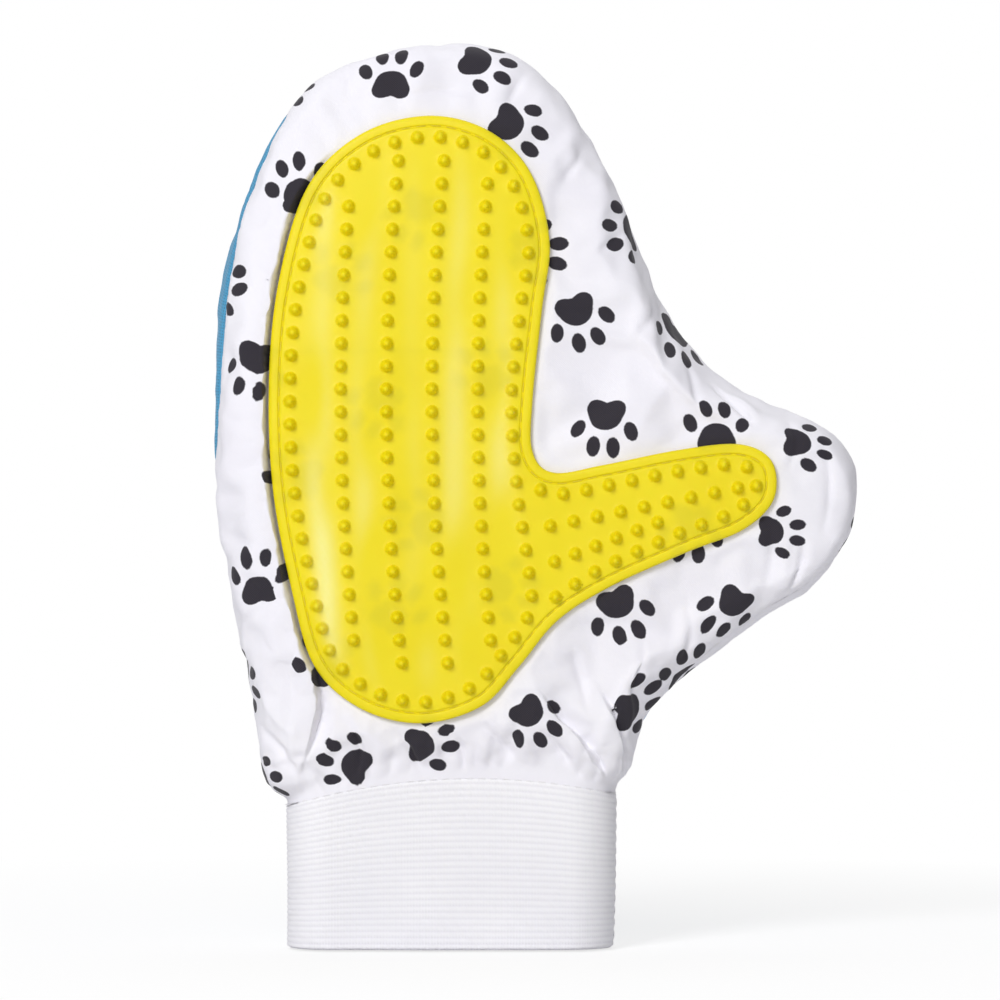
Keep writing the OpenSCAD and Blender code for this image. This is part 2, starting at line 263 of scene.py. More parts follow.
def triangulate(loop: Array, inner: Array, lines: list[Array]) -> tuple[Array, Array]:
    """Triangles inside a closed curve.

    Args:
        loop: points of the closed curve.
        inner: loose points inside it.
        lines: further runs of points whose steps must be edges.
    Returns:
        The points, and triples of their indices that turn anticlockwise.
    """
    points = np.vstack([loop, *lines, inner])
    n = len(loop)
    edges = [(i, (i + 1) % n) for i in range(n)]
    start = n
    for line in lines:
        edges += [(start + i, start + i + 1) for i in range(len(line) - 1)]
        start += len(line)
    out = delaunay_2d_cdt([Vector(p) for p in points], edges, [], 0, 1e-5)
    flat = np.array([v[:2] for v in out[0]])
    tris = np.array([f for f in out[2] if len(f) == 3])
    tris = tris[inside(flat[tris].mean(1), loop)]
    a, b, c = (flat[tris[:, k]] for k in range(3))
    turn = (b[:, 0] - a[:, 0]) * (c[:, 1] - a[:, 1]) - (b[:, 1] - a[:, 1]) * (c[:, 0] - a[:, 0])
    whole = np.abs(turn) > 1e-9
    tris, turn = tris[whole], turn[whole]
    tris[turn < 0] = tris[turn < 0][:, ::-1]
    return flat, tris


@dataclass(frozen=True)
class SoftNoise:
    """A smooth irregular field: a sum of plane waves with seeded headings.

    Attributes:
        seed: picks the waves.
        short: shortest wave in mm.
        long: longest wave in mm.
        waves: how many are summed.
    """

    seed: int
    short: float
    long: float
    waves: int = 18

    def at(self, points: Array) -> Array:
        """The field at flat points.

        Args:
            points: flat points in mm.
        Returns:
            Values of about -1 to 1.
        """
        rng = np.random.default_rng(self.seed)
        turn, phase = rng.uniform(0, TAU, self.waves), rng.uniform(0, TAU, self.waves)
        size = np.exp(rng.uniform(math.log(self.short), math.log(self.long), self.waves))
        total = np.zeros(len(points))
        for a, f, w in zip(turn, phase, size):
            total += np.cos((points[:, 0] * math.cos(a) + points[:, 1] * math.sin(a)) * TAU / w + f)
        return total / math.sqrt(self.waves)


# Meshes


@dataclass
class Surface:
    """A triangle mesh in mm with values at its points.

    Attributes:
        pos: places of the points.
        tris: triples of point indices.
        flat: pattern places of the points, which the weave follows.
        values: named values at the points.
    """

    pos: Array
    tris: Array
    flat: Array
    values: dict[str, Array] = field(default_factory=dict)

    def edges(self) -> tuple[Array, Array, Array]:
        """Edges of the triangles.

        Returns:
            The edges as sorted pairs, the edge of each triangle side, and how many triangles share each.
        """
        sides = np.concatenate([self.tris[:, [k, (k + 1) % 3]] for k in range(3)])
        pairs, which, count = np.unique(
            np.sort(sides, axis=1), axis=0, return_inverse=True, return_counts=True
        )
        return pairs, which.reshape(3, -1).T, count

    def normals(self) -> Array:
        """Unit normals at the points, weighted by area.

        Returns:
            A normal for each point.
        """
        a, b, c = (self.pos[self.tris[:, k]] for k in range(3))
        face = np.cross(b - a, c - a)
        out = np.zeros_like(self.pos)
        for k in range(3):
            np.add.at(out, self.tris[:, k], face)
        return out / np.maximum(np.linalg.norm(out, axis=1, keepdims=True), 1e-12)

    def smoothed(self, rounds: int, held: Array) -> None:
        """Evens out the points, in place.

        Args:
            rounds: how many times.
            held: how much of each point stays, 0 to 1.
        """
        pairs = self.edges()[0]
        count = np.bincount(pairs.ravel(), minlength=len(self.pos))[:, None]
        for _ in range(rounds):
            total = np.zeros_like(self.pos)
            np.add.at(total, pairs[:, 0], self.pos[pairs[:, 1]])
            np.add.at(total, pairs[:, 1], self.pos[pairs[:, 0]])
            mean = total / np.maximum(count, 1)
            self.pos = self.pos + (1 - held[:, None]) * 0.5 * (mean - self.pos)

    def subdivided(self) -> "Surface":
        """The surface after one round of Loop subdivision.

        Returns:
            A new surface with four times the triangles.
        """
        pairs, which, count = self.edges()
        n, m = len(self.pos), len(pairs)
        far = np.zeros((m, 3))
        opposite = self.tris[:, [2, 0, 1]]
        for k in range(3):
            np.add.at(far, which[:, k], self.pos[opposite[:, k]])
        rim = count == 1
        ends = self.pos[pairs[:, 0]] + self.pos[pairs[:, 1]]
        middle = np.where(rim[:, None], ends / 2, 3 / 8 * ends + far / 8)
        ring, valence = np.zeros((n, 3)), np.zeros(n)
        border, on_rim = np.zeros((n, 3)), np.zeros(n, bool)
        for a, b in ((0, 1), (1, 0)):
            np.add.at(ring, pairs[:, a], self.pos[pairs[:, b]])
            np.add.at(valence, pairs[:, a], 1)
            np.add.at(border, pairs[rim, a], self.pos[pairs[rim, b]])
            on_rim[pairs[rim, a]] = True
        beta = np.where(valence == 3, 3 / 16, 3 / (8 * np.maximum(valence, 1)))[:, None]
        moved = (1 - valence[:, None] * beta) * self.pos + beta * ring
        moved[on_rim] = 0.75 * self.pos[on_rim] + border[on_rim] / 8
        e = n + which
        t = self.tris
        corners = [np.stack([t[:, k], e[:, k], e[:, k - 1]], 1) for k in range(3)]
        tris = np.vstack([*corners, e])

        def halved(v: Array) -> Array:
            """Values with those of the edge middles added."""
            return np.concatenate([v, (v[pairs[:, 0]] + v[pairs[:, 1]]) / 2])

        values = {k: halved(v) for k, v in self.values.items()}
        return Surface(np.vstack([moved, middle]), tris, halved(self.flat), values)

    def welded(self) -> "Surface":
        """The surface with points at the same place made one.

        Returns:
            A new surface.
        """
        _, first, where = np.unique(np.round(self.pos, 4), axis=0, return_index=True, return_inverse=True)
        tris = where.reshape(-1)[self.tris]
        whole = (tris[:, 0] != tris[:, 1]) & (tris[:, 1] != tris[:, 2]) & (tris[:, 2] != tris[:, 0])
        values = {k: v[first] for k, v in self.values.items()}
        return Surface(self.pos[first], tris[whole], self.flat[first], values)

    def part(self, mask: Array, normals: Array) -> tuple["Surface", Array]:
        """Some of the triangles as a surface of their own.

        Args:
            mask: which triangles.
            normals: normals at the points of the whole.
        Returns:
            The part, and the whole's normals at its points.
        """
        used, tris = np.unique(self.tris[mask], return_inverse=True)
        values = {k: v[used] for k, v in self.values.items()}
        return Surface(self.pos[used], tris.reshape(-1, 3), self.flat[used], values), normals[used]

    def thickened(self, normals: Array, depth: float) -> tuple["Surface", Array]:
        """A closed skin with this surface as its outside.

        Args:
            normals: outward normals at the points.
            depth: thickness in mm.
        Returns:
            The skin, and normals at its points.
        """
        n = len(self.pos)
        _, which, count = self.edges()
        rim = count == 1
        sides = []
        for k in range(3):
            a, b = self.tris[:, k], self.tris[:, (k + 1) % 3]
            open_side = rim[which[:, k]]
            a, b = a[open_side], b[open_side]
            sides += [np.stack([b, a, a + n], 1), np.stack([b, a + n, b + n], 1)]
        tris = np.vstack([self.tris, self.tris[:, ::-1] + n, *sides])
        values = {k: np.concatenate([v, v]) for k, v in self.values.items()}
        pos = np.vstack([self.pos, self.pos - normals * depth])
        skin = Surface(pos, tris, np.vstack([self.flat] * 2), values)
        return skin, np.vstack([normals, -normals])

    def flat_size(self) -> tuple[tuple[float, float], float]:
        """Size of the cut cloth.

        Returns:
            Its width and length in metres, and its area in square metres.
        """
        a, b, c = (self.flat[self.tris[:, k]] for k in range(3))
        u, v = b - a, c - a
        area = np.abs(u[:, 0] * v[:, 1] - u[:, 1] * v[:, 0]).sum() / 2 * MM * MM
        width, length = np.ptp(self.flat[np.unique(self.tris)], axis=0) * MM
        return (float(width), float(length)), float(area)

    def to_object(
        self, name: str, material: bpy.types.Material, normals: Array | None = None
    ) -> bpy.types.Object:
        """A Blender object of the surface.

        Args:
            name: name of the piece.
            material: its finish.
            normals: shading normals at the points, where the surface is cut from a larger one.
        Returns:
            The object, linked to the scene.
        """
        mesh = bpy.data.meshes.new(name)
        mesh.from_pydata((self.pos * MM).tolist(), [], self.tris.tolist())
        mesh.update()
        layer = mesh.uv_layers.new(name="UVMap")
        corner = np.empty(len(mesh.loops), np.int32)
        mesh.loops.foreach_get("vertex_index", corner)
        layer.data.foreach_set("uv", (self.flat[corner] * MM).astype(np.float32).ravel())
        for key, v in self.values.items():
            mesh.attributes.new(key, "FLOAT", "POINT").data.foreach_set("value", v.astype(np.float32))
        mesh.polygons.foreach_set("use_smooth", np.ones(len(mesh.polygons), bool))
        mesh.materials.append(material)
        if normals is not None:
            mesh.normals_split_custom_set_from_vertices(normals.tolist())
        obj = bpy.data.objects.new(name, mesh)
        bpy.context.scene.collection.objects.link(obj)
        LOG.info("%s: %d points, %d triangles", name, len(self.pos), len(self.tris))
        return obj


def grid_tris(rows: int, cols: int, closed: bool, start: int = 0) -> Array:
    """Triangles of a grid of points.

    Args:
        rows: number of rows.
        cols: points in a row.
        closed: whether a row comes back to its first point.
        start: index of the first point.
    Returns:
        Triples of point indices.
    """
    i, j = np.meshgrid(np.arange(rows - 1), np.arange(cols if closed else cols - 1), indexing="ij")
    k = (j + 1) % cols
    corners = (i * cols + j, i * cols + k, (i + 1) * cols + k, (i + 1) * cols + j)
    a, b, c, d = (v.ravel() + start for v in corners)
    return np.vstack([np.stack([a, b, c], 1), np.stack([a, c, d], 1)])


# Finishes


MATH, MIX, NOISE = "ShaderNodeMath", "ShaderNodeMix", "ShaderNodeTexNoise"


def linear(code: str) -> tuple[float, float, float, float]:
    """A colour for a shader.

    Args:
        code: sRGB as six hex digits.
    Returns:
        Linear red, green, blue and 1.
    """
    v = [int(code[i : i + 2], 16) / 255 for i in (0, 2, 4)]
    r, g, b = (c / 12.92 if c <= 0.04045 else ((c + 0.055) / 1.055) ** 2.4 for c in v)
    return r, g, b, 1.0


def add_node(
    tree: bpy.types.NodeTree, kind: str, inputs: dict | None = None, **settings: object
) -> bpy.types.Node:
    """Adds a node with its settings and links.

    Args:
        tree: node tree.
        kind: type name of the node.
        inputs: value or socket to link, by name or index of the input.
        settings: properties of the node.
    Returns:
        The node.
    """
    node = tree.nodes.new(kind)
    for key, value in settings.items():
        setattr(node, key, value)
    for key, value in (inputs or {}).items():
        if isinstance(value, bpy.types.NodeSocket):
            tree.links.new(value, node.inputs[key])
        else:
            node.inputs[key].default_value = value
    return node


@dataclass(frozen=True)
class Finish:
    """A material with a bumped, varied surface.

    Attributes:
        name: what the material really is.
        base: main colour.
        shade: colour of its darker patches; the rib knit uses it as painted shade between its ribs.
    """

    name: str
    base: str
    shade: str

    def start(self) -> tuple[bpy.types.Material, bpy.types.NodeTree]:
        """A new empty material.

        Returns:
            The material and its node tree.
        """
        material = bpy.data.materials.new(self.name)
        material.use_nodes = True
        material.node_tree.nodes.clear()
        return material, material.node_tree

    def pattern(self, tree: bpy.types.NodeTree) -> list[bpy.types.NodeSocket]:
        """Place on the cut cloth in metres, followed by its across and up parts.

        Args:
            tree: node tree.
        Returns:
            The three sockets.
        """
        uv = add_node(tree, "ShaderNodeUVMap", uv_map="UVMap").outputs[0]
        split = add_node(tree, "ShaderNodeSeparateXYZ", {0: uv}).outputs
        return [uv, split[0], split[1]]

    def wave(
        self, tree: bpy.types.NodeTree, place: bpy.types.NodeSocket, pitch: float
    ) -> bpy.types.NodeSocket:
        """A sine along one pattern direction, of a pitch in mm over a place in metres."""
        turn = add_node(tree, MATH, {0: place, 1: TAU / (pitch * MM)}, operation="MULTIPLY").outputs[0]
        return add_node(tree, MATH, {0: turn}, operation="SINE").outputs[0]

    def close(
        self, tree: bpy.types.NodeTree, shader: dict, height: object, depth: float, strength: float
    ) -> None:
        """Adds the shader, its bump and the output.

        Args:
            tree: node tree.
            shader: inputs of the Principled shader.
            height: height of the relief, 0 to 1.
            depth: what height 1 is, in mm.
            strength: how strongly the relief shades.
        """
        relief = {"Height": height, "Distance": depth * MM, "Strength": strength}
        bump = add_node(tree, "ShaderNodeBump", relief).outputs[0]
        body = add_node(tree, "ShaderNodeBsdfPrincipled", shader | {"Normal": bump})
        add_node(tree, "ShaderNodeOutputMaterial", {"Surface": body.outputs[0]})


@dataclass(frozen=True)
class PrintedCotton(Finish):
    """Plain-woven cotton with a dark print: matt, faintly lavender white with crisp ink.

    Attributes:
        ink: colour of the print.
        ink_crest_highlight: painted highlight on the print where the threads are raised.
        slubbed: colour of thick places in the thread.
        thread: pitch of the weave in mm.
        slub: size of the thick places in mm.
        patch: size of the darker patches in mm.
    """

    ink: str = "29262D"
    ink_crest_highlight: str = "3F3B44"
    slubbed: str = "DAD7E2"
    # Real threads lie about half as far apart, too close to show, so the weave is drawn coarser.
    thread: float = 0.6
    slub: float = 1.1111
    patch: float = 35.714

    def build(self) -> bpy.types.Material:
        """Makes the material.

        Returns:
            The material.
        """
        material, tree = self.start()
        uv, across, up = self.pattern(tree)
        weft, warp = (self.wave(tree, way, self.thread) for way in (across, up))
        weave = add_node(tree, MATH, {0: weft, 1: warp}, operation="MULTIPLY").outputs[0]
        slub = add_node(tree, NOISE, {"Vector": uv, "Scale": 1 / (self.slub * MM), "Detail": 3.0}).outputs[0]
        spread = {"Vector": uv, "Scale": 1 / (self.patch * MM), "Detail": 2.0}
        cloud = add_node(tree, NOISE, spread).outputs[0]
        patchy = {0: cloud, 6: linear(self.base), 7: linear(self.shade)}
        cloth = add_node(tree, MIX, patchy, data_type="RGBA").outputs[2]
        few = add_node(tree, MATH, {0: slub, 1: 0.10}, operation="MULTIPLY").outputs[0]
        cloth = add_node(tree, MIX, {0: few, 6: cloth, 7: linear(self.slubbed)}, data_type="RGBA").outputs[2]
        edge = add_node(tree, "ShaderNodeAttribute", attribute_name="print_gap").outputs["Fac"]
        worn = add_node(tree, MATH, {0: slub, 1: 0.24, 2: -0.12}, operation="MULTIPLY_ADD").outputs[0]
        border = add_node(tree, MATH, {0: edge, 1: worn}, operation="ADD").outputs[0]
        crisp = {0: border, 1: -0.14, 2: 0.14, 3: 1.0, 4: 0.0}
        inked = add_node(tree, "ShaderNodeMapRange", crisp, interpolation_type="SMOOTHSTEP").outputs[0]
        # Painted highlight: the print is lightened on the raised threads, as if lit.
        crest_highlight = add_node(tree, MATH, {0: weave, 1: 0.25, 2: 0.25}, operation="MULTIPLY_ADD").outputs[0]
        ink_and_highlight = {0: crest_highlight, 6: linear(self.ink), 7: linear(self.ink_crest_highlight)}
        highlighted_ink = add_node(tree, MIX, ink_and_highlight, data_type="RGBA").outputs[2]
        lumps = add_node(tree, MATH, {0: slub, 1: 0.6}, operation="MULTIPLY").outputs[0]
        height = add_node(tree, MATH, {0: weave, 1: 0.35, 2: lumps}, operation="MULTIPLY_ADD").outputs[0]
        shader = {
            "Base Color": add_node(tree, MIX, {0: inked, 6: cloth, 7: highlighted_ink}, data_type="RGBA").outputs[2],
            "Roughness": 0.88,
            "Specular IOR Level": 0.25,
            "Sheen Weight": 0.10,
            "Sheen Roughness": 0.5,
        }
        self.close(tree, shader, height, 0.10, 0.35)
        return material


@dataclass(frozen=True)
class MouldedRubber(Finish):
    """Soft translucent TPR: lemon yellow field, deeper nubs, satin sheen, painted sheen in pale bands and a
    faint print from below.

    Attributes:
        deep: colour where it is thick, and also painted shade on the rim's outer flank and along its left
            edge.
        under: colour where the print shows through.
        sheen_highlight: colour of the painted sheen, laid on in pale bands.
        patch: size of the darker patches in mm.
        grain: size of the mould's grain in mm.
    """

    deep: str = "E8D400"
    under: str = "B9B42E"
    sheen_highlight: str = "F8F29C"
    patch: float = 22.222
    grain: float = 0.71429

    def build(self) -> bpy.types.Material:
        """Makes the material.

        Returns:
            The material.
        """
        material, tree = self.start()
        place = add_node(tree, "ShaderNodeTexCoord").outputs["Object"]
        spread = {"Vector": place, "Scale": 1 / (self.patch * MM), "Detail": 3.0}
        cloud = add_node(tree, NOISE, spread).outputs[0]
        spread = {"Vector": place, "Scale": 1 / (self.grain * MM), "Detail": 2.0}
        grain = add_node(tree, NOISE, spread).outputs[0]
        thick_and_rim_shade, below, sheen_band = (
            add_node(tree, "ShaderNodeAttribute", attribute_name=name).outputs["Fac"]
            for name in ("thick_and_rim_shade", "print_below", "sheen_band")
        )
        colour = linear(self.base)
        # The pale tint is painted sheen: highlight bands between the rows of nubs.
        tints = ((cloud, 0.8, self.shade), (below, 0.35, self.under), (sheen_band, 0.85, self.sheen_highlight))
        for where, much, tint in tints:
            share = add_node(tree, MATH, {0: where, 1: much}, operation="MULTIPLY").outputs[0]
            colour = add_node(tree, MIX, {0: share, 6: colour, 7: linear(tint)}, data_type="RGBA").outputs[2]
        # Deep colour where the rubber is thick, and painted shade on the rim's outer flank and left edge.
        colour = add_node(tree, MIX, {0: thick_and_rim_shade, 6: colour, 7: linear(self.deep)}, data_type="RGBA").outputs[2]
        satin = add_node(tree, MATH, {0: cloud, 1: 0.16, 2: 0.36}, operation="MULTIPLY_ADD").outputs[0]
        shader = {
            "Base Color": colour,
            "Roughness": satin,
            "Specular IOR Level": 0.25,
            "Subsurface Weight": 0.25,
            "Subsurface Radius": (1.0, 0.75, 0.12),
            "Subsurface Scale": 2.0 * MM,
        }
        self.close(tree, shader, grain, 0.05, 0.25)
        return material


@dataclass(frozen=True)
class MeshKnit(Finish):
    """Fine warp knit: rows of small eyelets in a soft blue, with painted shade in the eyelets.

    Attributes:
        eyelet_shade: painted shade down in the eyelets.
        eyelet: pitch of the eyelets in mm.
        fuzz: size of the yarn's fuzz in mm.
    """

    eyelet_shade: str = "1D5A7E"
    eyelet: float = 1.7
    fuzz: float = 1.42857

    def build(self) -> bpy.types.Material:
        """Makes the material.

        Returns:
            The material.
        """
        material, tree = self.start()
        uv, across, up = self.pattern(tree)
        lean = add_node(tree, MATH, {0: across, 1: up}, operation="ADD").outputs[0]
        fall = add_node(tree, MATH, {0: across, 1: up}, operation="SUBTRACT").outputs[0]
        rising, falling = (self.wave(tree, place, self.eyelet) for place in (lean, fall))
        eye = add_node(tree, MATH, {0: rising, 1: falling}, operation="MULTIPLY").outputs[0]
        rib = self.wave(tree, across, self.eyelet / 3)
        fuzz = add_node(tree, NOISE, {"Vector": uv, "Scale": 1 / (self.fuzz * MM), "Detail": 3.0}).outputs[0]
        opening = {0: eye, 1: 0.35, 2: 0.85, 3: 0.0, 4: 1.0}
        hole = add_node(tree, "ShaderNodeMapRange", opening, interpolation_type="SMOOTHSTEP").outputs[0]
        fuzzy = {0: fuzz, 6: linear(self.base), 7: linear(self.shade)}
        colour = add_node(tree, MIX, fuzzy, data_type="RGBA").outputs[2]
        # Painted shade: the eyelets are darkened as if shadowed inside.
        gloom = add_node(tree, MATH, {0: hole, 1: 0.75}, operation="MULTIPLY").outputs[0]
        colour = add_node(tree, MIX, {0: gloom, 6: colour, 7: linear(self.eyelet_shade)}, data_type="RGBA").outputs[2]
        yarn = add_node(tree, MATH, {0: rib, 1: 0.15, 2: fuzz}, operation="MULTIPLY_ADD").outputs[0]
        height = add_node(tree, MATH, {0: yarn, 1: hole}, operation="SUBTRACT").outputs[0]
        shader = {
            "Base Color": colour,
            "Roughness": 0.82,
            "Specular IOR Level": 0.25,
            "Sheen Weight": 0.2,
            "Sheen Roughness": 0.4,
        }
        self.close(tree, shader, height, 0.25, 0.6)
        return material


@dataclass(frozen=True)
class RibKnit(Finish):
    """Elastic rib knit: white loops, with painted shade down between the ribs.

    Attributes:
        dull: colour of its duller patches.
        loop: width of a loop in mm.
        fuzz: size of the yarn's fuzz in mm.
        patch: size of the duller patches in mm.
    """

    dull: str = "F0EFF5"
    loop: float = 0.8
    fuzz: float = 0.90909
    patch: float = 25.0

    def build(self) -> bpy.types.Material:
        """Makes the material.

        Returns:
            The material.
        """
        material, tree = self.start()
        uv, across, _ = self.pattern(tree)
        fuzz = add_node(tree, NOISE, {"Vector": uv, "Scale": 1 / (self.fuzz * MM), "Detail": 3.0}).outputs[0]
        spread = {"Vector": uv, "Scale": 1 / (self.patch * MM), "Detail": 2.0}
        cloud = add_node(tree, NOISE, spread).outputs[0]
        valley = add_node(tree, "ShaderNodeAttribute", attribute_name="valley").outputs["Fac"]
        stitch = self.wave(tree, across, self.loop)
        patchy = {0: cloud, 6: linear(self.base), 7: linear(self.dull)}
        colour = add_node(tree, MIX, patchy, data_type="RGBA").outputs[2]
        # Painted shade: the shade colour darkens the valleys between the ribs and the inner face.
        low = add_node(tree, MATH, {0: valley, 1: 0.4}, operation="MULTIPLY").outputs[0]
        colour = add_node(tree, MIX, {0: low, 6: colour, 7: linear(self.shade)}, data_type="RGBA").outputs[2]
        height = add_node(tree, MATH, {0: stitch, 1: 0.4, 2: fuzz}, operation="MULTIPLY_ADD").outputs[0]
        shader = {
            "Base Color": colour,
            "Roughness": 0.9,
            "Specular IOR Level": 0.2,
            "Sheen Weight": 0.15,
            "Sheen Roughness": 0.5,
        }
        self.close(tree, shader, height, 0.15, 0.5)
        return material


@dataclass(frozen=True)
class SewingThread(Finish):
    """Twisted polyester thread: fine slanting plies with a slight sheen.

    Attributes:
        ply: pitch of the twist in mm.
    """

    ply: float = 0.5

    def build(self) -> bpy.types.Material:
        """Makes the material.

        Returns:
            The material.
        """
        material, tree = self.start()
        _, across, up = self.pattern(tree)
        slant = add_node(tree, MATH, {0: across, 1: up}, operation="ADD").outputs[0]
        twist = self.wave(tree, slant, self.ply)
        share = add_node(tree, MATH, {0: twist, 1: 0.5, 2: 0.5}, operation="MULTIPLY_ADD").outputs[0]
        plies = {0: share, 6: linear(self.shade), 7: linear(self.base)}
        shader = {
            "Base Color": add_node(tree, MIX, plies, data_type="RGBA").outputs[2],
            "Roughness": 0.55,
            "Sheen Weight": 0.1,
        }
        self.close(tree, shader, share, 0.08, 0.6)
        return material


# The shell


@dataclass(frozen=True)
class ThumbSeam:
    """The seam between the blue back and the thumb's white back, which curls out to end at the side seam.

    Attributes:
        foot: across place and height in mm of its foot, were it straight.
        lean: how far it leans outwards, in degrees.
        curl_below: height in mm below which it curls.
        curl: how far it has curled 10 mm lower, in mm.
    """

    foot: tuple[float, float] = (53.0, 43.0)
    lean: float = 9.5
    curl_below: float = 72.0
    curl: float = 9.0

    def across(self, z: Array) -> Array:
        """Across places of the seam at heights, in mm."""
        straight = self.foot[0] + (z - self.foot[1]) * math.tan(math.radians(self.lean))
        return straight + self.curl * (np.maximum(self.curl_below - z, 0.0) / 10.0) ** 2


@dataclass(frozen=True)
class Fold:
    """A crease or ridge in the cloth, drawn as a soft stroke.

    Attributes:
        width: half width in mm.
        height: height in mm, negative for a valley.
        path: points it runs through, across and up.
    """

    width: float
    height: float
    path: Points

    def lift(self, points: Array) -> Array:
        """Height of the stroke at flat points.

        Args:
            points: flat points in mm.
        Returns:
            Heights in mm.
        """
        out = np.zeros(len(points))
        curve = resample(smooth_curve(self.path, False), 1.5, False)
        near = ((points > curve.min(0) - 8 * self.width) & (points < curve.max(0) + 8 * self.width)).all(1)
        gap, _, index = nearest(points[near], curve)
        t = index / (len(curve) - 1)
        fade = np.sin(np.pi * (0.04 + 0.92 * t)) ** 0.7
        out[near] = self.height * fade / (1 + (gap / self.width) ** 2) ** 2
        return out


@dataclass(frozen=True)
class Tuck:
    """A sharp fold: a steep step down from its left bank, then a gentle rise.

    Attributes:
        height: height of the bank in mm.
        depth: depth at the foot of the step in mm.
        path: points it runs through, across and up.
        step: width of the step in mm.
        bank: how far the bank falls off, in mm.
        rise: how far the cloth takes to rise again, in mm.
        reach: distance in mm past which it is nothing.
    """

    height: float
    depth: float
    path: Points
    step: float = 1.0
    bank: float = 4.0
    rise: float = 2.6
    reach: float = 16.0

    def curve(self) -> Array:
        """The line it runs along."""
        return resample(smooth_curve(self.path, False), 1.3, False)

    def lift(self, points: Array) -> Array:
        """Height of the fold at flat points.

        Args:
            points: flat points in mm.
        Returns:
            Heights in mm.
        """
        out = np.zeros(len(points))
        curve = self.curve()
        near = ((points > curve.min(0) - self.reach) & (points < curve.max(0) + self.reach)).all(1)
        gap, foot, index = nearest(points[near], curve)
        t = index / (len(curve) - 1)
        side = left_of(curve, False)[np.round(index).astype(int)]
        left = np.sign(((points[near] - foot) * side).sum(1)) * gap
        up, down = (ease(0.5 + way * left / self.step) for way in (1, -1))
        bank = self.height * up * np.exp(-((np.maximum(left - 1.4, 0) / self.bank) ** 2))
        drop = self.depth * down * np.exp(-np.maximum(-left - 0.6, 0) / self.rise)
        out[near] = (bank - drop) * np.sin(np.pi * (0.01 + 0.98 * t)) ** 0.7
        return out


@dataclass(frozen=True)
class Paw:
    """One paw of the print.

    Attributes:
        x: across place of its main pad.
        z: height of its main pad.
        turn: heading of its toes, in degrees anticlockwise from up.
        size: its size, where 1 is 16 mm long.
    """

    x: float
    z: float
    turn: float
    size: float = 1.0

    def gap(self, points: Array) -> Array:
        """How far flat points lie outside the paw.

        Args:
            points: flat points in mm.
        Returns:
            Distance in mm, about, and negative inside.
        """
        a = math.radians(self.turn)
        d = (points - (self.x, self.z)) / self.size
        cos, sin = math.cos(a), math.sin(a)
        p = np.stack([d[:, 0] * cos + d[:, 1] * sin, d[:, 1] * cos - d[:, 0] * sin], 1)

        def oval(x: float, z: float, w: float, h: float, lean: float = 0.0) -> Array:
            """Distance outside an oval.

            Args:
                x: across place in the paw.
                z: forward place in the paw.
                w: half width.
                h: half length.
                lean: turn in degrees.
            Returns:
                Distance in mm, about.
            """
            c, s = math.cos(math.radians(lean)), math.sin(math.radians(lean))
            u, v = p[:, 0] - x, p[:, 1] - z
            return (np.hypot((u * c + v * s) / w, (v * c - u * s) / h) - 1) * min(w, h)

        lobes = [oval(0, 1.0, 4.0, 3.3), oval(-2.6, -1.5, 2.5, 2.3, 20), oval(2.6, -1.5, 2.5, 2.3, -20)]
        main = -0.7 * np.log(sum(np.exp(-g / 0.7) for g in lobes))
        toes = [oval(-6.9, 4.1, 1.75, 2.6, 24), oval(-2.6, 8.7, 1.8, 2.75, 6)]
        toes += [oval(2.6, 8.7, 1.8, 2.75, -6), oval(6.9, 4.1, 1.75, 2.6, -24)]
        return np.minimum(main, np.min(toes, axis=0)) * self.size


@dataclass
class PawPrint:
    """The scattered paws of the printed cotton, each turned its own way.

    Attributes:
        paws: the paws.
    """

    paws: tuple[Paw, ...] = (
        Paw(-16, 228.5, 0), Paw(6.5, 236, -112), Paw(-39.5, 199, 20), Paw(14.7, 218, -122),
        Paw(19.5, 184.5, -95), Paw(52, 192, 108), Paw(32.8, 169, -158), Paw(66, 168, 160),
        Paw(40.7, 141.3, 176), Paw(70, 135, 0), Paw(91.2, 134.8, -98, 0.92), Paw(84, 110.5, -92, 0.8),
        Paw(-50.5, 95, 5), Paw(43.6, 91.8, -158), Paw(75, 91.5, 150), Paw(48, 62.5, -75),
        Paw(20, 63.1, -139, 0.9), Paw(-8.4, 54.3, -78, 0.9), Paw(-25, 48.6, 62, 0.9),
        Paw(-56, 42.5, -90, 0.95), Paw(-31.9, 74.1, 20), Paw(-65, 176, -85), Paw(-50.8, 156.5, 165),
        Paw(-38, 124.7, 73), Paw(-64, 70, -90), Paw(-49, 233, -120), Paw(63.3, 113.5, 175),
        Paw(-31, 176, -40), Paw(10.5, 150, 30), Paw(-18, 146, 150), Paw(-6, 112, 70),
        Paw(-16, 88, -30), Paw(-8, 196, 160), Paw(12, 96, -100), Paw(118, 108, 120), Paw(66, 68, 10),
    )  # fmt: skip

    def gap(self, points: Array) -> Array:
        """How far flat points lie outside the print."""
        return np.clip(np.min([p.gap(points) for p in self.paws], axis=0), -4, 4)


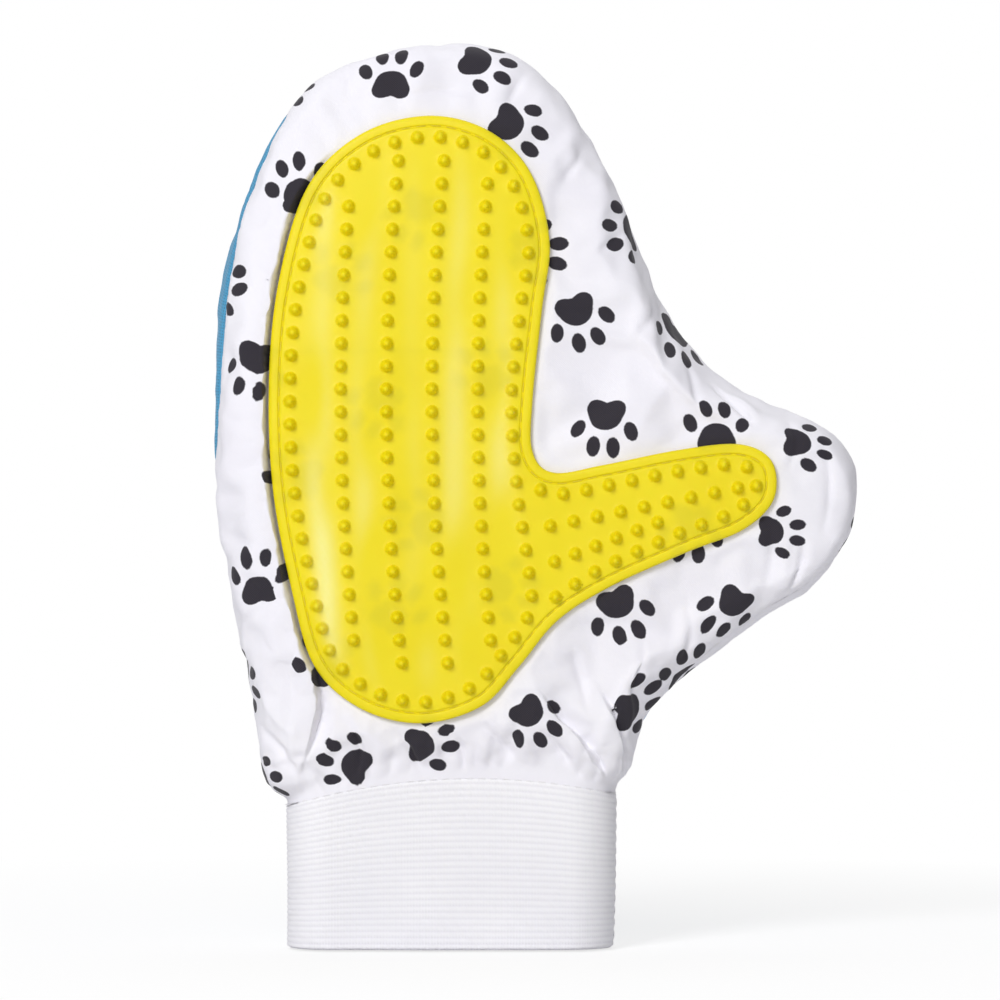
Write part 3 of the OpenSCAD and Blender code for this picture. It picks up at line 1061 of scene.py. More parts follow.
@dataclass
class ClothRelaxer:
    """Lets a cut of cloth buckle between the places that hold it, with Blender's cloth simulation.

    Attributes:
        slack: how much larger the cloth is than the space it is sewn into.
        frames: steps simulated.
        mass: mass of a point.
        stiffness: stiffness against stretching.
        bending: stiffness against folding.
        most: farthest a point may move, in mm.
    """

    slack: float = 1.035
    frames: int = 30
    mass: float = 0.01
    stiffness: float = 40.0
    bending: float = 0.05
    most: float = 3.0

    def relax(self, surface: Surface, held: Array, name: str) -> None:
        """Runs the simulation and moves the surface's points, in place.

        Args:
            surface: the cloth.
            held: how firmly each point is held, 0 to 1.
            name: name for the log.
        """
        mesh = bpy.data.meshes.new("relaxing")
        mesh.from_pydata((surface.pos * MM).tolist(), [], surface.tris.tolist())
        mesh.update()
        obj = bpy.data.objects.new("relaxing", mesh)
        bpy.context.scene.collection.objects.link(obj)
        group = obj.vertex_groups.new(name="held")
        for level in np.unique(np.round(held, 1)):
            group.add(np.nonzero(np.round(held, 1) == level)[0].tolist(), float(level), "REPLACE")
        cloth = obj.modifiers.new("cloth", "CLOTH")
        s = cloth.settings
        s.quality, s.mass, s.air_damping = 10, self.mass, 1.0
        s.tension_stiffness = s.compression_stiffness = s.shear_stiffness = self.stiffness
        s.tension_damping = s.compression_damping = s.shear_damping = 1.0
        s.bending_stiffness = self.bending
        s.vertex_group_mass = "held"
        s.pin_stiffness = 20.0
        s.shrink_min = s.shrink_max = 1 - self.slack
        s.effector_weights.gravity = 0.0
        cloth.collision_settings.use_collision = False
        cloth.point_cache.frame_start, cloth.point_cache.frame_end = 1, self.frames
        scene = bpy.context.scene
        for frame in range(1, self.frames + 1):
            scene.frame_set(frame)
        shown = obj.evaluated_get(bpy.context.evaluated_depsgraph_get())
        out = np.empty(len(surface.pos) * 3, np.float32)
        shown.data.vertices.foreach_get("co", out)
        move = out.reshape(-1, 3) / MM - surface.pos
        far = np.linalg.norm(move, axis=1, keepdims=True)
        LOG.info("%s relaxed: moved %.2f mm at most, %.2f on average", name, far.max(), far.mean())
        move *= np.minimum(1.0, self.most / np.maximum(far, 1e-6)) * (1 - held[:, None])
        surface.pos = surface.pos + move
        bpy.data.objects.remove(obj)
        bpy.data.meshes.remove(mesh)
        scene.frame_set(1)


@dataclass
class Wrist:
    """The cuff's oval and the slanting line where the shell is sewn to it.

    Attributes:
        half_width: half the cuff's width in mm.
        half_depth: half the cuff's depth in mm.
    """

    half_width: float = 44.0
    half_depth: float = 12.5

    def line(self, x: Array) -> Array:
        """Height of the sewn line, which arches and dips most at the left."""
        return 46.0 - 0.003 * (x - 6.0) ** 2

    def on_oval(self, x: Array, y: Array, inset: float) -> tuple[Array, Array]:
        """Places moved out or in to the cuff's oval.

        Args:
            x: across places.
            y: depth places.
            inset: how far inside the outer face, in mm.
        Returns:
            The new across and depth places.
        """
        c = np.clip(x, self.half_depth - self.half_width, self.half_width - self.half_depth)
        d = np.maximum(np.hypot(x - c, y), 1e-6)
        r = self.half_depth - inset
        return c + (x - c) / d * r, y / d * r


@dataclass
class Shell:
    """The sewn cloth of the hand: front, back and the white back of the thumb.

    Attributes:
        wrist: where it meets the cuff.
        prints: the print of the cotton.
        pad_loop: outline of the rubber pad, which presses the cloth flat.
        thumb: seam of the thumb's back.
        round_over: how far the face rounds over at its edge, in mm.
        half_depth: half the depth at the flat part's edge, in mm.
        wrist_depth: the same, and the rounding, at the wrist.
        crown: how much the middle of a face stands proud of that.
        cloth: thickness of the cloth in mm.
        step: size of the pattern's triangles in mm.
        fine: their size by the wrist.
        fine_below: height in mm below which they are fine.
        back_gain: how much deeper the back's folds are than drawn.
        held_seam: width in mm beside the seam over which it holds the front.
        held_back: the same at the back.
        hem_inset: how far inside the cuff's outer face the hem lies, in mm.
        hem_drop: how far below the sewn line the hem ends, in mm.
        slot_depth: depth of the slot along the pad's left edge, in mm.
        slot_bank: height of the cloth beside that slot, in mm.
        slot_reach: how far that bank falls off, in mm.
        slot_rows: distances out from the pad's edge of the fine rows that make the slot, in mm.
        tuck_rows: distances to the left of a tuck of the fine rows that make it, in mm.
        outline: points of the seen edge, from the cuff's left over the fingers to its right.
        plain_lean: how far forward of the edge the side seam runs, in degrees.
        blue_seam: the same by the little finger, with the height of each place.
        thumb_seam: the same under the thumb.
        tucks: sharp folds at the wrist.
        back_folds: folds of the back.
        folds: folds of the front.
    """

    wrist: Wrist
    prints: PawPrint
    pad_loop: Array
    thumb: ThumbSeam = ThumbSeam()
    round_over: float = 11.0
    half_depth: float = 13.8
    wrist_depth: float = 12.0
    crown: float = 1.8
    cloth: float = 0.9
    step: float = 1.9
    fine: float = 1.25
    fine_below: float = 82.0
    back_gain: float = 1.4
    held_seam: float = 3.0
    held_back: float = 10.0
    hem_inset: float = 0.4
    hem_drop: float = 0.8
    slot_depth: float = 2.6
    slot_bank: float = 3.0
    slot_reach: float = 10.0
    slot_rows: tuple[float, ...] = (-1.2, -0.4, 0.3, 0.9, 1.5, 2.2, 3.2)
    tuck_rows: tuple[float, ...] = (-1.6, -0.9, -0.4, 0.1, 0.6, 1.2)
    outline: Points = (
        (-44, 38.6), (-47.6, 41.5), (-49.8, 47), (-51.6, 56), (-53.8, 69), (-56.2, 82), (-59.3, 98),
        (-61.5, 114), (-62.8, 131), (-63, 149), (-61.2, 172), (-56.6, 193.5), (-48.8, 213), (-37, 228),
        (-22.5, 235.5), (-3, 239.2), (14, 236.8), (24.4, 230), (32.6, 220), (40.4, 206), (48, 189.6),
        (56.2, 172.2), (64, 160), (73, 151.3), (84, 145), (94, 140), (102, 135.2), (106.4, 128),
        (107, 120), (106.2, 113), (104.2, 107), (100, 100.5), (93.5, 94), (84, 88), (74, 81),
        (64.5, 74.2), (57, 67.4), (52, 60.6), (49.3, 54.5), (47.6, 48), (44.2, 42),
    )  # fmt: skip
    plain_lean: float = -14.0
    blue_seam: Points = (
        (118, -14), (127, 0), (140, 26), (155, 32), (175, 32), (190, 28), (207, 21), (221, 9), (231, -14),
    )  # fmt: skip
    thumb_seam: Points = ((64, -14), (69, 0), (77, 28), (90, 36), (101, 28), (113, -14))
    tucks: tuple[Tuck, ...] = (
        Tuck(2.2, 2.4, ((-38.3, 51), (-35.2, 62), (-35.6, 72), (-38.5, 83))),
        Tuck(1.3, 2.0, ((42, 44), (34.3, 55.5), (28, 62), (24, 67.5))),
        Tuck(1.3, 2.0, ((46.6, 45), (46.6, 53), (44, 60), (39.5, 68))),
    )
    back_folds: tuple[Fold, ...] = (
        Fold(4.5, 1.1, ((-46, 186), (-22, 179), (4, 181))),
        Fold(3.5, -1.2, ((-44, 176), (-20, 170), (10, 175))),
        Fold(4.0, 1.0, ((-6, 200), (18, 192), (36, 196))),
        Fold(3.0, -1.1, ((48, 186), (30, 172), (20, 150))),
        Fold(3.5, 1.2, ((58, 150), (40, 134), (26, 108))),
        Fold(2.6, -1.5, ((56, 138), (40, 122), (30, 96))),
        Fold(3.0, 1.0, ((54, 118), (42, 100), (36, 78))),
        Fold(2.4, -1.3, ((52, 104), (44, 88), (42, 68))),
        Fold(3.0, -1.3, ((-48, 120), (-38, 96), (-34, 66))),
        Fold(3.2, 1.1, ((-40, 110), (-30, 86), (-26, 58))),
        Fold(2.4, -1.2, ((-20, 92), (-14, 72), (-13, 54))),
        Fold(2.8, 1.0, ((-10, 86), (-4, 66), (-4, 52))),
        Fold(2.2, -1.2, ((6, 84), (8, 66), (6, 52))),
        Fold(2.6, 1.0, ((20, 90), (18, 70), (16, 53))),
        Fold(2.2, -1.2, ((32, 82), (28, 66), (26, 52))),
        Fold(4.0, -0.9, ((-30, 150), (-6, 140), (14, 146))),
        Fold(4.5, 0.8, ((-34, 138), (-10, 126), (8, 130))),
    )
    folds: tuple[Fold, ...] = (
        Fold(2.6, 0.7, ((-42, 70), (-40.8, 62), (-43, 53))),
        Fold(2.4, 1.2, ((-31, 66), (-31, 57), (-34, 49))),
        Fold(2.4, -1.5, ((-53, 59), (-46, 53), (-39.9, 45))),
        Fold(2.0, 1.0, ((-51, 66), (-45, 60), (-40, 56))),
        Fold(1.0, -1.3, ((-27, 60), (-24, 53), (-25, 46))),
        Fold(1.0, -1.2, ((-13, 57), (-10, 51), (-7, 46.5))),
        Fold(1.6, 0.8, ((-6, 57), (-2, 48))),
        Fold(0.9, -1.0, ((2, 56), (3.5, 48))),
        Fold(2.0, -1.7, ((8, 60), (12, 55.5), (17, 50))),
        Fold(1.8, 1.1, ((13, 62), (18, 57), (23, 50))),
        Fold(2.2, 0.6, ((31, 68), (38, 58.5), (44.5, 50))),
        Fold(1.0, -1.2, ((25.5, 57), (30, 51), (34, 46))),
        Fold(2.0, 1.2, ((45, 72), (49, 62), (49, 54))),
        Fold(1.7, -1.1, ((32, 79), (34.5, 71), (36, 64))),
        Fold(1.7, -1.1, ((50.5, 82), (50.5, 74), (48.5, 66))),
        Fold(1.6, -0.8, ((62, 92), (64, 82), (62, 75))),
        Fold(1.6, -0.9, ((84, 113), (84.5, 104), (83, 95))),
        Fold(1.0, -1.8, ((92.5, 108), (92, 100), (90.5, 93))),
        Fold(1.4, 0.7, ((88, 108), (88, 97))),
        Fold(0.9, -2.2, ((72, 152.5), (75.5, 147), (79.5, 139.5))),
        Fold(1.6, 0.8, ((77, 150), (82, 142))),
        Fold(1.5, -1.0, ((65, 159), (66, 152), (65, 143))),
        Fold(1.3, -0.9, ((90, 142), (91, 134), (89, 127))),
        Fold(1.4, -0.8, ((99, 134), (100, 123), (98, 111))),
        Fold(1.3, -0.7, ((-13, 225), (-2, 227), (8, 226))),
        Fold(1.5, -0.8, ((-28, 235), (-27, 225))),
        Fold(1.4, -0.8, ((20, 232), (15, 223))),
        Fold(1.5, -0.9, ((37, 212), (30, 203))),
        Fold(1.4, -0.9, ((48, 191), (39, 184))),
        Fold(1.4, -0.8, ((57, 171), (47, 160))),
        Fold(1.6, -0.7, ((-61, 112), (-54, 115))),
        Fold(1.5, -0.8, ((-57, 86), (-49, 90))),
    )

    def __post_init__(self) -> None:
        """Works out the outline, its normals, and where the faces start to round over."""
        self.edge = resample(smooth_curve(self.outline, False), 2.2, False)
        self.out = left_of(self.edge, False)
        swell = self.swell(self.edge)
        rounding = self.wrist_depth + (self.round_over - self.wrist_depth) * swell
        self.radius = rounding * (1 - 0.3 * ease((self.edge[:, 0] - 70) / 25))
        self.depth = self.wrist_depth + (self.half_depth - self.wrist_depth) * swell
        self.flat_edge = self.edge - self.out * self.radius[:, None]
        self.top = int(self.edge[:, 1].argmax())
        self.tip = int(self.edge[:, 0].argmax())
        order, z = np.arange(len(self.edge)), self.edge[:, 1]
        lean = np.full(len(z), self.plain_lean)
        lean = np.where(order < self.top, np.interp(z, *np.array(self.blue_seam, float).T), lean)
        lean = np.where(order > self.tip, np.interp(z, *np.array(self.thumb_seam, float).T), lean)
        self.forward = np.radians(np.convolve(np.pad(lean, 4, "edge"), np.ones(9) / 9, "valid"))

    def swell(self, points: Array) -> Array:
        """How far the shell has swollen from the wrist."""
        return ease((points[:, 1] - self.wrist.line(points[:, 0])) / 15.0)

    def reach(self, side: Side) -> Array:
        """Angle by which a face rounds over to the seam, at each point of the outline."""
        return math.pi / 2 + side.value * self.forward

    def pattern(self, side: Side) -> tuple[Array, Array]:
        """Outline of the cut cloth, laid flat.

        Args:
            side: front or back.
        Returns:
            Points of the closed curve, and those of its hem.
        """
        arc = self.reach(side) * (self.radius + self.depth) / 2
        sides = resample(self.flat_edge + self.out * arc[:, None], self.step, False)
        n = round((sides[-1, 0] - sides[0, 0]) / self.fine)
        x = np.linspace(sides[-1, 0], sides[0, 0], n + 1)
        hem = self.wrist.line(np.clip(x, -self.wrist.half_width, self.wrist.half_width))
        right, left = ease((x - 30) / (x[0] - 30)), ease((x + 30) / (x[-1] + 30))
        hem += (sides[-1, 1] - hem[0]) * right + (sides[0, 1] - hem[-1]) * left
        low = np.stack([x, hem], 1)
        return np.vstack([sides, low[1:-1]]), low

    def beyond(self, points: Array) -> tuple[Array, Array, Array, Array, Array]:
        """How points lie to the line where the faces start to round over.

        Args:
            points: flat points in mm.
        Returns:
            Distances from it, nearest places on it, how far along it those are, the outward directions
            there, and whether each point lies beyond it.
        """
        gap, foot, index = nearest(points, self.flat_edge)
        steps = np.arange(len(self.edge))
        normal = np.stack([np.interp(index, steps, self.out[:, k]) for k in (0, 1)], 1)
        return gap, foot, index, normal, ((points - foot) * normal).sum(1) > 0

    def inner_depth(self, points: Array) -> Array:
        """Half the depth in mm over the flat part of a face, less its crown."""
        return self.wrist_depth + (self.half_depth - self.wrist_depth) * self.swell(points)

    def place(self, flat: Array, side: Side) -> tuple[Array, Array, Array]:
        """Folds flat cloth round the hand.

        Args:
            flat: pattern places in mm.
            side: front or back.
        Returns:
            Places, outward normals, and distances from the seam.
        """
        gap, foot, index, normal, outside = self.beyond(flat)
        steps = np.arange(len(self.edge))
        radius, depth = (np.interp(index, steps, v) for v in (self.radius, self.depth))
        heading = np.where(outside[:, None], (flat - foot) / np.maximum(gap, 1e-6)[:, None], normal)
        mean = (radius + depth) / 2
        reach = np.interp(index, steps, self.reach(side))
        turn = np.where(outside, np.minimum(gap / mean, reach), 0.0)
        seam = np.where(outside, (reach - turn) * mean, reach * mean + gap)
        tilt, level = np.sin(turn), np.cos(turn)
        xz = np.where(outside[:, None], foot + heading * (radius * tilt)[:, None], flat)
        y = np.where(outside, depth, self.inner_depth(flat)) * level
        y += self.rise(flat, np.where(outside, 0.0, gap))
        normals = np.stack([heading[:, 0] * tilt, side.value * level, heading[:, 1] * tilt], 1)
        return np.stack([xz[:, 0], side.value * y, xz[:, 1]], 1), normals, seam

    def rise(self, flat: Array, gap: Array) -> Array:
        """Crown of a face over its flat part."""
        return self.crown * (1 - np.exp(-((gap / 14.0) ** 2))) * self.swell(flat)

    def palm_height(self, seen: Array) -> Array:
        """How far forward the cloth under the pad stands.

        Args:
            seen: places seen from the front, in mm.
        Returns:
            Distances in front of the mitt's middle plane.
        """
        gap, _, index, _, outside = self.beyond(seen)
        radius = np.interp(index, np.arange(len(self.edge)), self.radius)
        turn = np.where(outside, np.arcsin(np.clip(gap / radius, 0, 1)), 0.0)
        return self.inner_depth(seen) * np.cos(turn) + self.rise(seen, np.where(outside, 0.0, gap))

    def free(self, flat: Array, side: Side) -> Array:
        """How free the cloth is of the pad.

        Args:
            flat: pattern places in mm.
            side: front or back.
        Returns:
            0 under the pad to 1.
        """
        if side is Side.BACK:
            return np.ones(len(flat))
        return ease((0.6 - depth_inside(flat, self.pad_loop)) / 4.0)

    def crumple(self, flat: Array, side: Side) -> Array:
        """Broad unevenness that the simulation starts from.

        Args:
            flat: pattern places in mm.
            side: front or back.
        Returns:
            Heights in mm.
        """
        seed = 11 if side is Side.FRONT else 29
        soft = 0.2 * SoftNoise(seed, 26.0, 60.0).at(flat) + 0.12 * SoftNoise(seed + 1, 9.0, 20.0).at(flat)
        return soft * self.free(flat, side)

    def beside_pad(self) -> Array:
        """Rows of points along the pad's left edge and the sharp creases, which need finer cloth.

        Returns:
            Flat points in mm.
        """
        loop = resample(self.pad_loop, 1.3, True)
        rows = np.vstack([loop - left_of(loop, True) * out for out in self.slot_rows])
        rows = rows[(rows[:, 0] < -22) & (rows[:, 1] > 60) & (rows[:, 1] < 214)]
        for tuck in self.tucks:
            path = tuck.curve()
            more = np.vstack([path + left_of(path, False) * out for out in self.tuck_rows])
            more = more[more[:, 1] > self.wrist.line(more[:, 0]) + 2.0]
            rows = np.vstack([rows, more[nearest(more, rows)[0] > 0.45]])
        return rows

    def trench(self, flat: Array) -> Array:
        """The dip along the pad's left edge, beside which the cloth stands up as high as the pad.

        Args:
            flat: pattern places in mm.
        Returns:
            Heights in mm.
        """
        x, z = flat.T
        out = -depth_inside(flat, self.pad_loop)
        left = ease((-x - 20) / 12) * ease((z - 66) / 14) * ease((214 - z) / 24)
        dip = -self.slot_depth * np.exp(-(((out + 0.3) / 0.9) ** 2))
        fall = np.exp(-((np.maximum(out - 1.8, 0) / self.slot_reach) ** 2))
        bank = self.slot_bank * ease((out - 0.3) / 1.1) * fall
        return left * (dip + bank)

    def creases(self, flat: Array, seam: Array, side: Side) -> Array:
        """Sharp gathers at the wrist, puckers at the seam, and single folds.

        Args:
            flat: pattern places in mm.
            seam: distances from the seam.
            side: front or back.
        Returns:
            Heights in mm.
        """
        up = np.maximum(flat[:, 1] - self.wrist.line(flat[:, 0]), 0)
        seed = 41 if side is Side.FRONT else 59
        run = np.stack([flat[:, 0] * (1 - 0.004 * up), 0.28 * up], 1)
        lift = 0.7 * np.exp(-up / 8.0) * ease(up / 2.0) * (np.abs(SoftNoise(seed, 5.0, 10.0).at(run)) - 0.6)
        lift += 0.22 * np.exp(-seam / 4.0) * (np.abs(SoftNoise(seed + 1, 6.0, 13.0).at(flat)) - 0.6)
        lift += 0.12 * (np.abs(SoftNoise(seed + 2, 16.0, 40.0).at(flat)) - 0.6)
        groove = -0.6 * np.exp(-((seam / 0.9) ** 2))
        near_seam = ease(seam / self.held_seam)
        if side is Side.FRONT:
            lift += sum(f.lift(flat) for f in self.folds) * ease((up + 0.5) / 2.0)
            tucked = sum(t.lift(flat) for t in self.tucks) * ease((up - 1.0) / 4.0)
            tucked *= ease(-depth_inside(flat, self.pad_loop))
            return (lift * self.free(flat, side) + self.trench(flat) + tucked) * near_seam + groove
        lift += self.back_gain * sum(f.lift(flat) for f in self.back_folds) * ease((up + 0.5) / 2.0)
        split = np.abs(flat[:, 0] - self.thumb.across(flat[:, 1]))
        return lift * near_seam + groove - 0.8 * np.exp(-((split / 1.1) ** 2))

    def face(self, side: Side, relaxer: ClothRelaxer) -> Surface:
        """One face of the shell, sewn, gathered and relaxed.

        Args:
            side: front or back.
            relaxer: the simulation.
        Returns:
            The face's outside.
        """
        loop, hem = self.pattern(side)
        coarse, close = hex_grid(loop, self.step), hex_grid(loop, self.fine)
        coarse = coarse[coarse[:, 1] > self.fine_below]
        close = close[close[:, 1] < self.fine_below - self.fine]
        grid = np.vstack([coarse, close])
        grid = grid[depth_inside(grid, loop) > 0.6 * self.step]
        lines = []
        if side is Side.FRONT:
            beside = self.beside_pad()
            beside = beside[depth_inside(beside, loop) > 1.0]
            grid = np.vstack([grid[nearest(grid, beside)[0] > 0.9], beside])
        else:
            z = np.arange(48.0, 166.0, self.step)
            line = np.stack([self.thumb.across(z), z], 1)
            lines.append(line[depth_inside(line, loop) > 0.5 * self.step])
            grid = grid[nearest(grid, lines[0])[0] > 0.6 * self.step]
        flat, tris = triangulate(loop, grid, lines)
        pos, normals, seam = self.place(flat, side)
        pos += normals * self.crumple(flat, side)[:, None]
        surface = Surface(pos, tris if side is Side.FRONT else tris[:, ::-1], flat)
        surface.values["hem"] = (nearest(flat, hem)[0] < 1e-3).astype(float)
        up = flat[:, 1] - self.wrist.line(flat[:, 0])
        held = np.maximum(1 - self.free(flat, side), 1 - ease((up - 1.0) / 5.0))
        held = np.maximum(held, 1 - ease(seam / (self.held_seam if side is Side.FRONT else self.held_back)))
        relaxer.relax(surface, held, side.name.lower())
        surface.smoothed(1, held)
        surface = surface.subdivided()
        seam = self.place(surface.flat, side)[2]
        surface.pos += surface.normals() * self.creases(surface.flat, seam, side)[:, None]
        self.sew_to_cuff(surface)
        surface.values["print_gap"] = self.prints.gap(surface.flat)
        return surface

    def sew_to_cuff(self, surface: Surface) -> None:
        """Draws the hem in to the cuff's oval, in place.

        Args:
            surface: a face of the shell.
        """
        x, y, z = surface.pos.T
        share = 1 - ease((z - self.wrist.line(x)) / 5.0)
        ox, oy = self.wrist.on_oval(x, y, self.hem_inset)
        surface.pos[:, 0] += share * (ox - x)
        surface.pos[:, 1] += share * (oy - y)
        low = surface.values.pop("hem") > 0.99
        surface.pos[low, 2] = self.wrist.line(surface.pos[low, 0]) - self.hem_drop


# The pad


@dataclass
class NubPad:
    """The rubber pad: a rounded rim, a sewing groove, and rows of nubs.

    Attributes:
        pitch: distance between nubs in mm.
        row_inset: distance of the border row from the edge.
        arm_inset: the same on the thumb arm.
        foot: radius of a nub at its foot.
        height: height of a nub.
        sides: points round a nub.
        off_cloth: gap between cloth and pad.
        groove_inset: distance of the groove's middle from the edge.
        groove_level: height of the thread in it above the pad's underside.
        ground_step: size of the field's triangles.
        under_step: size of the underside's triangles.
        outer: points of the edge from the top down the left side to the foot of the arm.
        arm: points of the edge round the arm.
        neck: points across the foot of the arm, where the border row passes it.
        inner: points of the edge from the arm up to the top.
        short_rows: ends of the rows of nubs along the arm.
        columns: across places of the upright rows at their middle.
        bow: how far these curve to the right 60 mm above and below it.
        middle: its height.
        first_row: height midway between two nubs of an upright row.
        sheen_bands: across place and strength of the bands of painted sheen between them.
        rim: distance in from the edge and height above the cloth, over the lip, through the groove and on
            to the field.
        profile: radius and height of a nub, as shares of its foot's radius and its height.
    """

    pitch: float = 6.0
    row_inset: float = 5.7
    arm_inset: float = 5.5
    foot: float = 1.95
    height: float = 3.0
    sides: int = 14
    off_cloth: float = 0.1
    groove_inset: float = 2.75
    groove_level: float = 1.56
    ground_step: float = 1.7
    under_step: float = 4.0
    outer: Points = (
        (-6, 220), (-24, 215), (-38, 201), (-45.5, 176), (-48, 150), (-47, 122), (-42, 95), (-36, 75),
        (-24, 64), (-8, 60), (8, 64.5), (18, 75),
    )  # fmt: skip
    arm: Points = (
        (28, 87), (42, 96), (62, 105), (77, 111), (85, 119), (84.5, 129), (76, 133.5), (60, 132),
        (40, 128), (27, 126), (21.5, 131.5),
    )  # fmt: skip
    neck: Points = ((26.5, 89), (25.5, 105), (23, 122))
    inner: Points = ((21.5, 145), (24, 169), (26, 187), (21, 205), (10, 216))
    short_rows: tuple[Points, ...] = (((23, 111.4), (78.5, 122.6)), ((24.5, 101.6), (57, 114)))
    columns: tuple[float, ...] = (-29.0, -17.0, -5.0, 7.0)
    bow: float = 3.0
    middle: float = 146.0
    first_row: float = 175.0
    sheen_bands: Points = ((-35.0, 1.0), (-23.0, 0.6), (-11.0, 0.2), (1.0, 0.7), (13.0, 0.7))
    rim: Points = (
        (0.5, 0.0), (0.08, 0.2), (0.0, 0.7), (0.03, 1.25), (0.22, 1.68), (0.6, 1.92), (1.2, 2.0), (2.2, 2.0),
        (2.45, 1.88), (2.6, 1.5), (2.9, 1.5), (3.05, 1.8), (3.3, 1.91), (3.9, 1.92),
    )  # fmt: skip
    profile: Points = (
        (1.0, 0.0), (0.87, 0.06), (0.77, 0.19), (0.66, 0.40), (0.55, 0.62), (0.43, 0.81), (0.29, 0.93),
        (0.13, 0.99),
    )  # fmt: skip

    def outline(self) -> Array:
        """The pad's edge."""
        return resample(smooth_curve(self.outer + self.arm + self.inner, True), 1.1, True)

    def curve(self, z: Array) -> Array:
        """How far the upright rows lie to the right of their middle."""
        return self.bow * ((z - self.middle) / 60.0) ** 2

    def nubs(self) -> Array:
        """Places of the nubs: a border row, upright rows on the palm, and rows along the thumb.

        Returns:
            Flat places in mm.
        """
        palm = smooth_curve(self.outer + self.neck + self.inner, True)
        ring = palm + left_of(palm, True) * self.row_inset
        border = middles(looped(ring), self.pitch)
        rises = self.first_row + (np.arange(-30, 31) + 0.5) * self.pitch
        upright = np.array([(x + self.curve(z), z) for x in self.columns for z in rises])
        upright = upright[inside(upright, ring)]
        arm = smooth_curve(self.arm, False)
        along_arm = middles(arm + left_of(arm, False) * self.arm_inset, self.pitch)
        short = np.vstack([middles(np.array(r, float), self.pitch) for r in self.short_rows])
        chosen = border
        for more, share in ((upright, 0.8), (along_arm, 0.8), (short, 0.7)):
            gap = np.linalg.norm(more[:, None] - chosen, axis=2).min(1)
            chosen = np.vstack([chosen, more[gap > share * self.pitch]])
        return chosen

    def build(self, shell: Shell) -> Surface:
        """The moulding, lying on the shell's front.

        Args:
            shell: the shell.
        Returns:
            A closed surface.
        """
        edge = self.outline()
        normal = left_of(edge, True)
        rings = [edge + normal * d for d, _ in self.rim]
        n, top_face = len(edge), self.rim[-1][1]
        # Painted shade along the left edge, where the cloth's bank would shadow the rim.
        beside = ease((-edge[:, 0] - 24) / 12) * ease((edge[:, 1] - 66) / 14) * ease((210 - edge[:, 1]) / 24)
        flats, tops = list(rings), [np.full(n, h) for _, h in self.rim]
        # Painted shade: the rim's lower outer flank all round, and more of the rim along the left edge, takes
        # the deep colour.
        thick_and_rim_shade = [(0.4 * (h < 1.5) + 0.6 * beside) * (d < 0.7) for d, h in self.rim]
        tris = [grid_tris(len(rings), n, True)]
        nubs = self.nubs()
        flat, faces = self.ground(rings[-1], nubs)
        count = n * len(rings)
        flats.append(flat)
        tops.append(np.full(len(flat), top_face))
        thick_and_rim_shade.append(np.zeros(len(flat)))
        tris.append(faces + count)
        count += len(flat)
        level = np.concatenate([np.full(self.sides, h) for _, h in self.profile] + [[1.0]])
        walls = grid_tris(len(self.profile), self.sides, True)
        tip = self.sides * len(self.profile)
        last, turn = tip - self.sides, np.arange(self.sides)
        cap = np.column_stack([last + turn, last + (turn + 1) % self.sides, np.full(self.sides, tip)])
        for c in nubs:
            flats.append(np.vstack([c + self.circle() * self.foot * r for r, _ in self.profile] + [c[None]]))
            tops.append(top_face + level * self.height)
            thick_and_rim_shade.append(ease(level / 0.3) * (0.85 - 0.35 * level))
            tris += [walls + count, cap + count]
            count += tip + 1
        under_grid = hex_grid(rings[0], self.under_step)
        under_grid = under_grid[depth_inside(under_grid, rings[0]) > 2.4]
        flat, faces = triangulate(rings[0], under_grid, [])
        flats.append(flat)
        tops.append(np.zeros(len(flat)))
        thick_and_rim_shade.append(np.zeros(len(flat)))
        tris.append(faces[:, ::-1] + count)
        flat, top = np.vstack(flats), np.concatenate(tops)
        front = shell.palm_height(flat) + self.off_cloth + self.lift(flat, edge) + top
        surface = Surface(np.stack([flat[:, 0], -front, flat[:, 1]], 1), np.vstack(tris), flat)
        surface.values["thick_and_rim_shade"] = np.concatenate(thick_and_rim_shade)
        # Painted sheen: pale highlight bands between the rows of nubs.
        surface.values["sheen_band"] = self.sheen_band(flat, edge)
        surface.values["print_below"] = ease((0.9 - shell.prints.gap(flat)) / 1.8) * ease((2.4 - top) / 0.8)
        return surface.welded()

    def circle(self) -> Array:
        """Points round a circle of radius 1."""
        turns = np.arange(self.sides) * TAU / self.sides
        return np.stack([np.cos(turns), np.sin(turns)], 1)

    def ground(self, loop: Array, nubs: Array) -> tuple[Array, Array]:
        """The flat ground between the nubs.

        Args:
            loop: its edge.
            nubs: places of the nubs.
        Returns:
            Flat points, and triangles that leave the nubs' feet open.
        """
        grid = hex_grid(loop, self.ground_step)
        grid = grid[depth_inside(grid, loop) > 0.8]
        far = np.min([np.linalg.norm(grid - c, axis=1) for c in nubs], axis=0)
        grid = grid[far > self.foot + 0.7]
        flat, faces = triangulate(loop, grid, [c + self.circle() * self.foot for c in nubs])
        middle = flat[faces].mean(1)
        far = np.min([np.linalg.norm(middle - c, axis=1) for c in nubs], axis=0)
        return flat, faces[far > self.foot * 0.985]

    def sheen_band(self, flat: Array, edge: Array) -> Array:
        """Painted sheen: pale highlight bands between the upright rows.

        Args:
            flat: flat points in mm.
            edge: the pad's edge.
        Returns:
            0 to 1.
        """
        x, z = flat.T
        x = x - self.curve(z)
        band = sum(w * np.exp(-(((x - c) / 3.0) ** 2)) for c, w in self.sheen_bands)
        patch = ease(0.5 + 0.5 * SoftNoise(71, 14.0, 60.0).at(flat * (1.6, 0.5)))
        patch *= 0.5 + 0.5 * ease((165 - z) / 50)
        palm = ease((depth_inside(flat, edge) - 4) / 4) * ease((z - 64) / 16) * ease((22 - x) / 6)
        return band * patch * palm

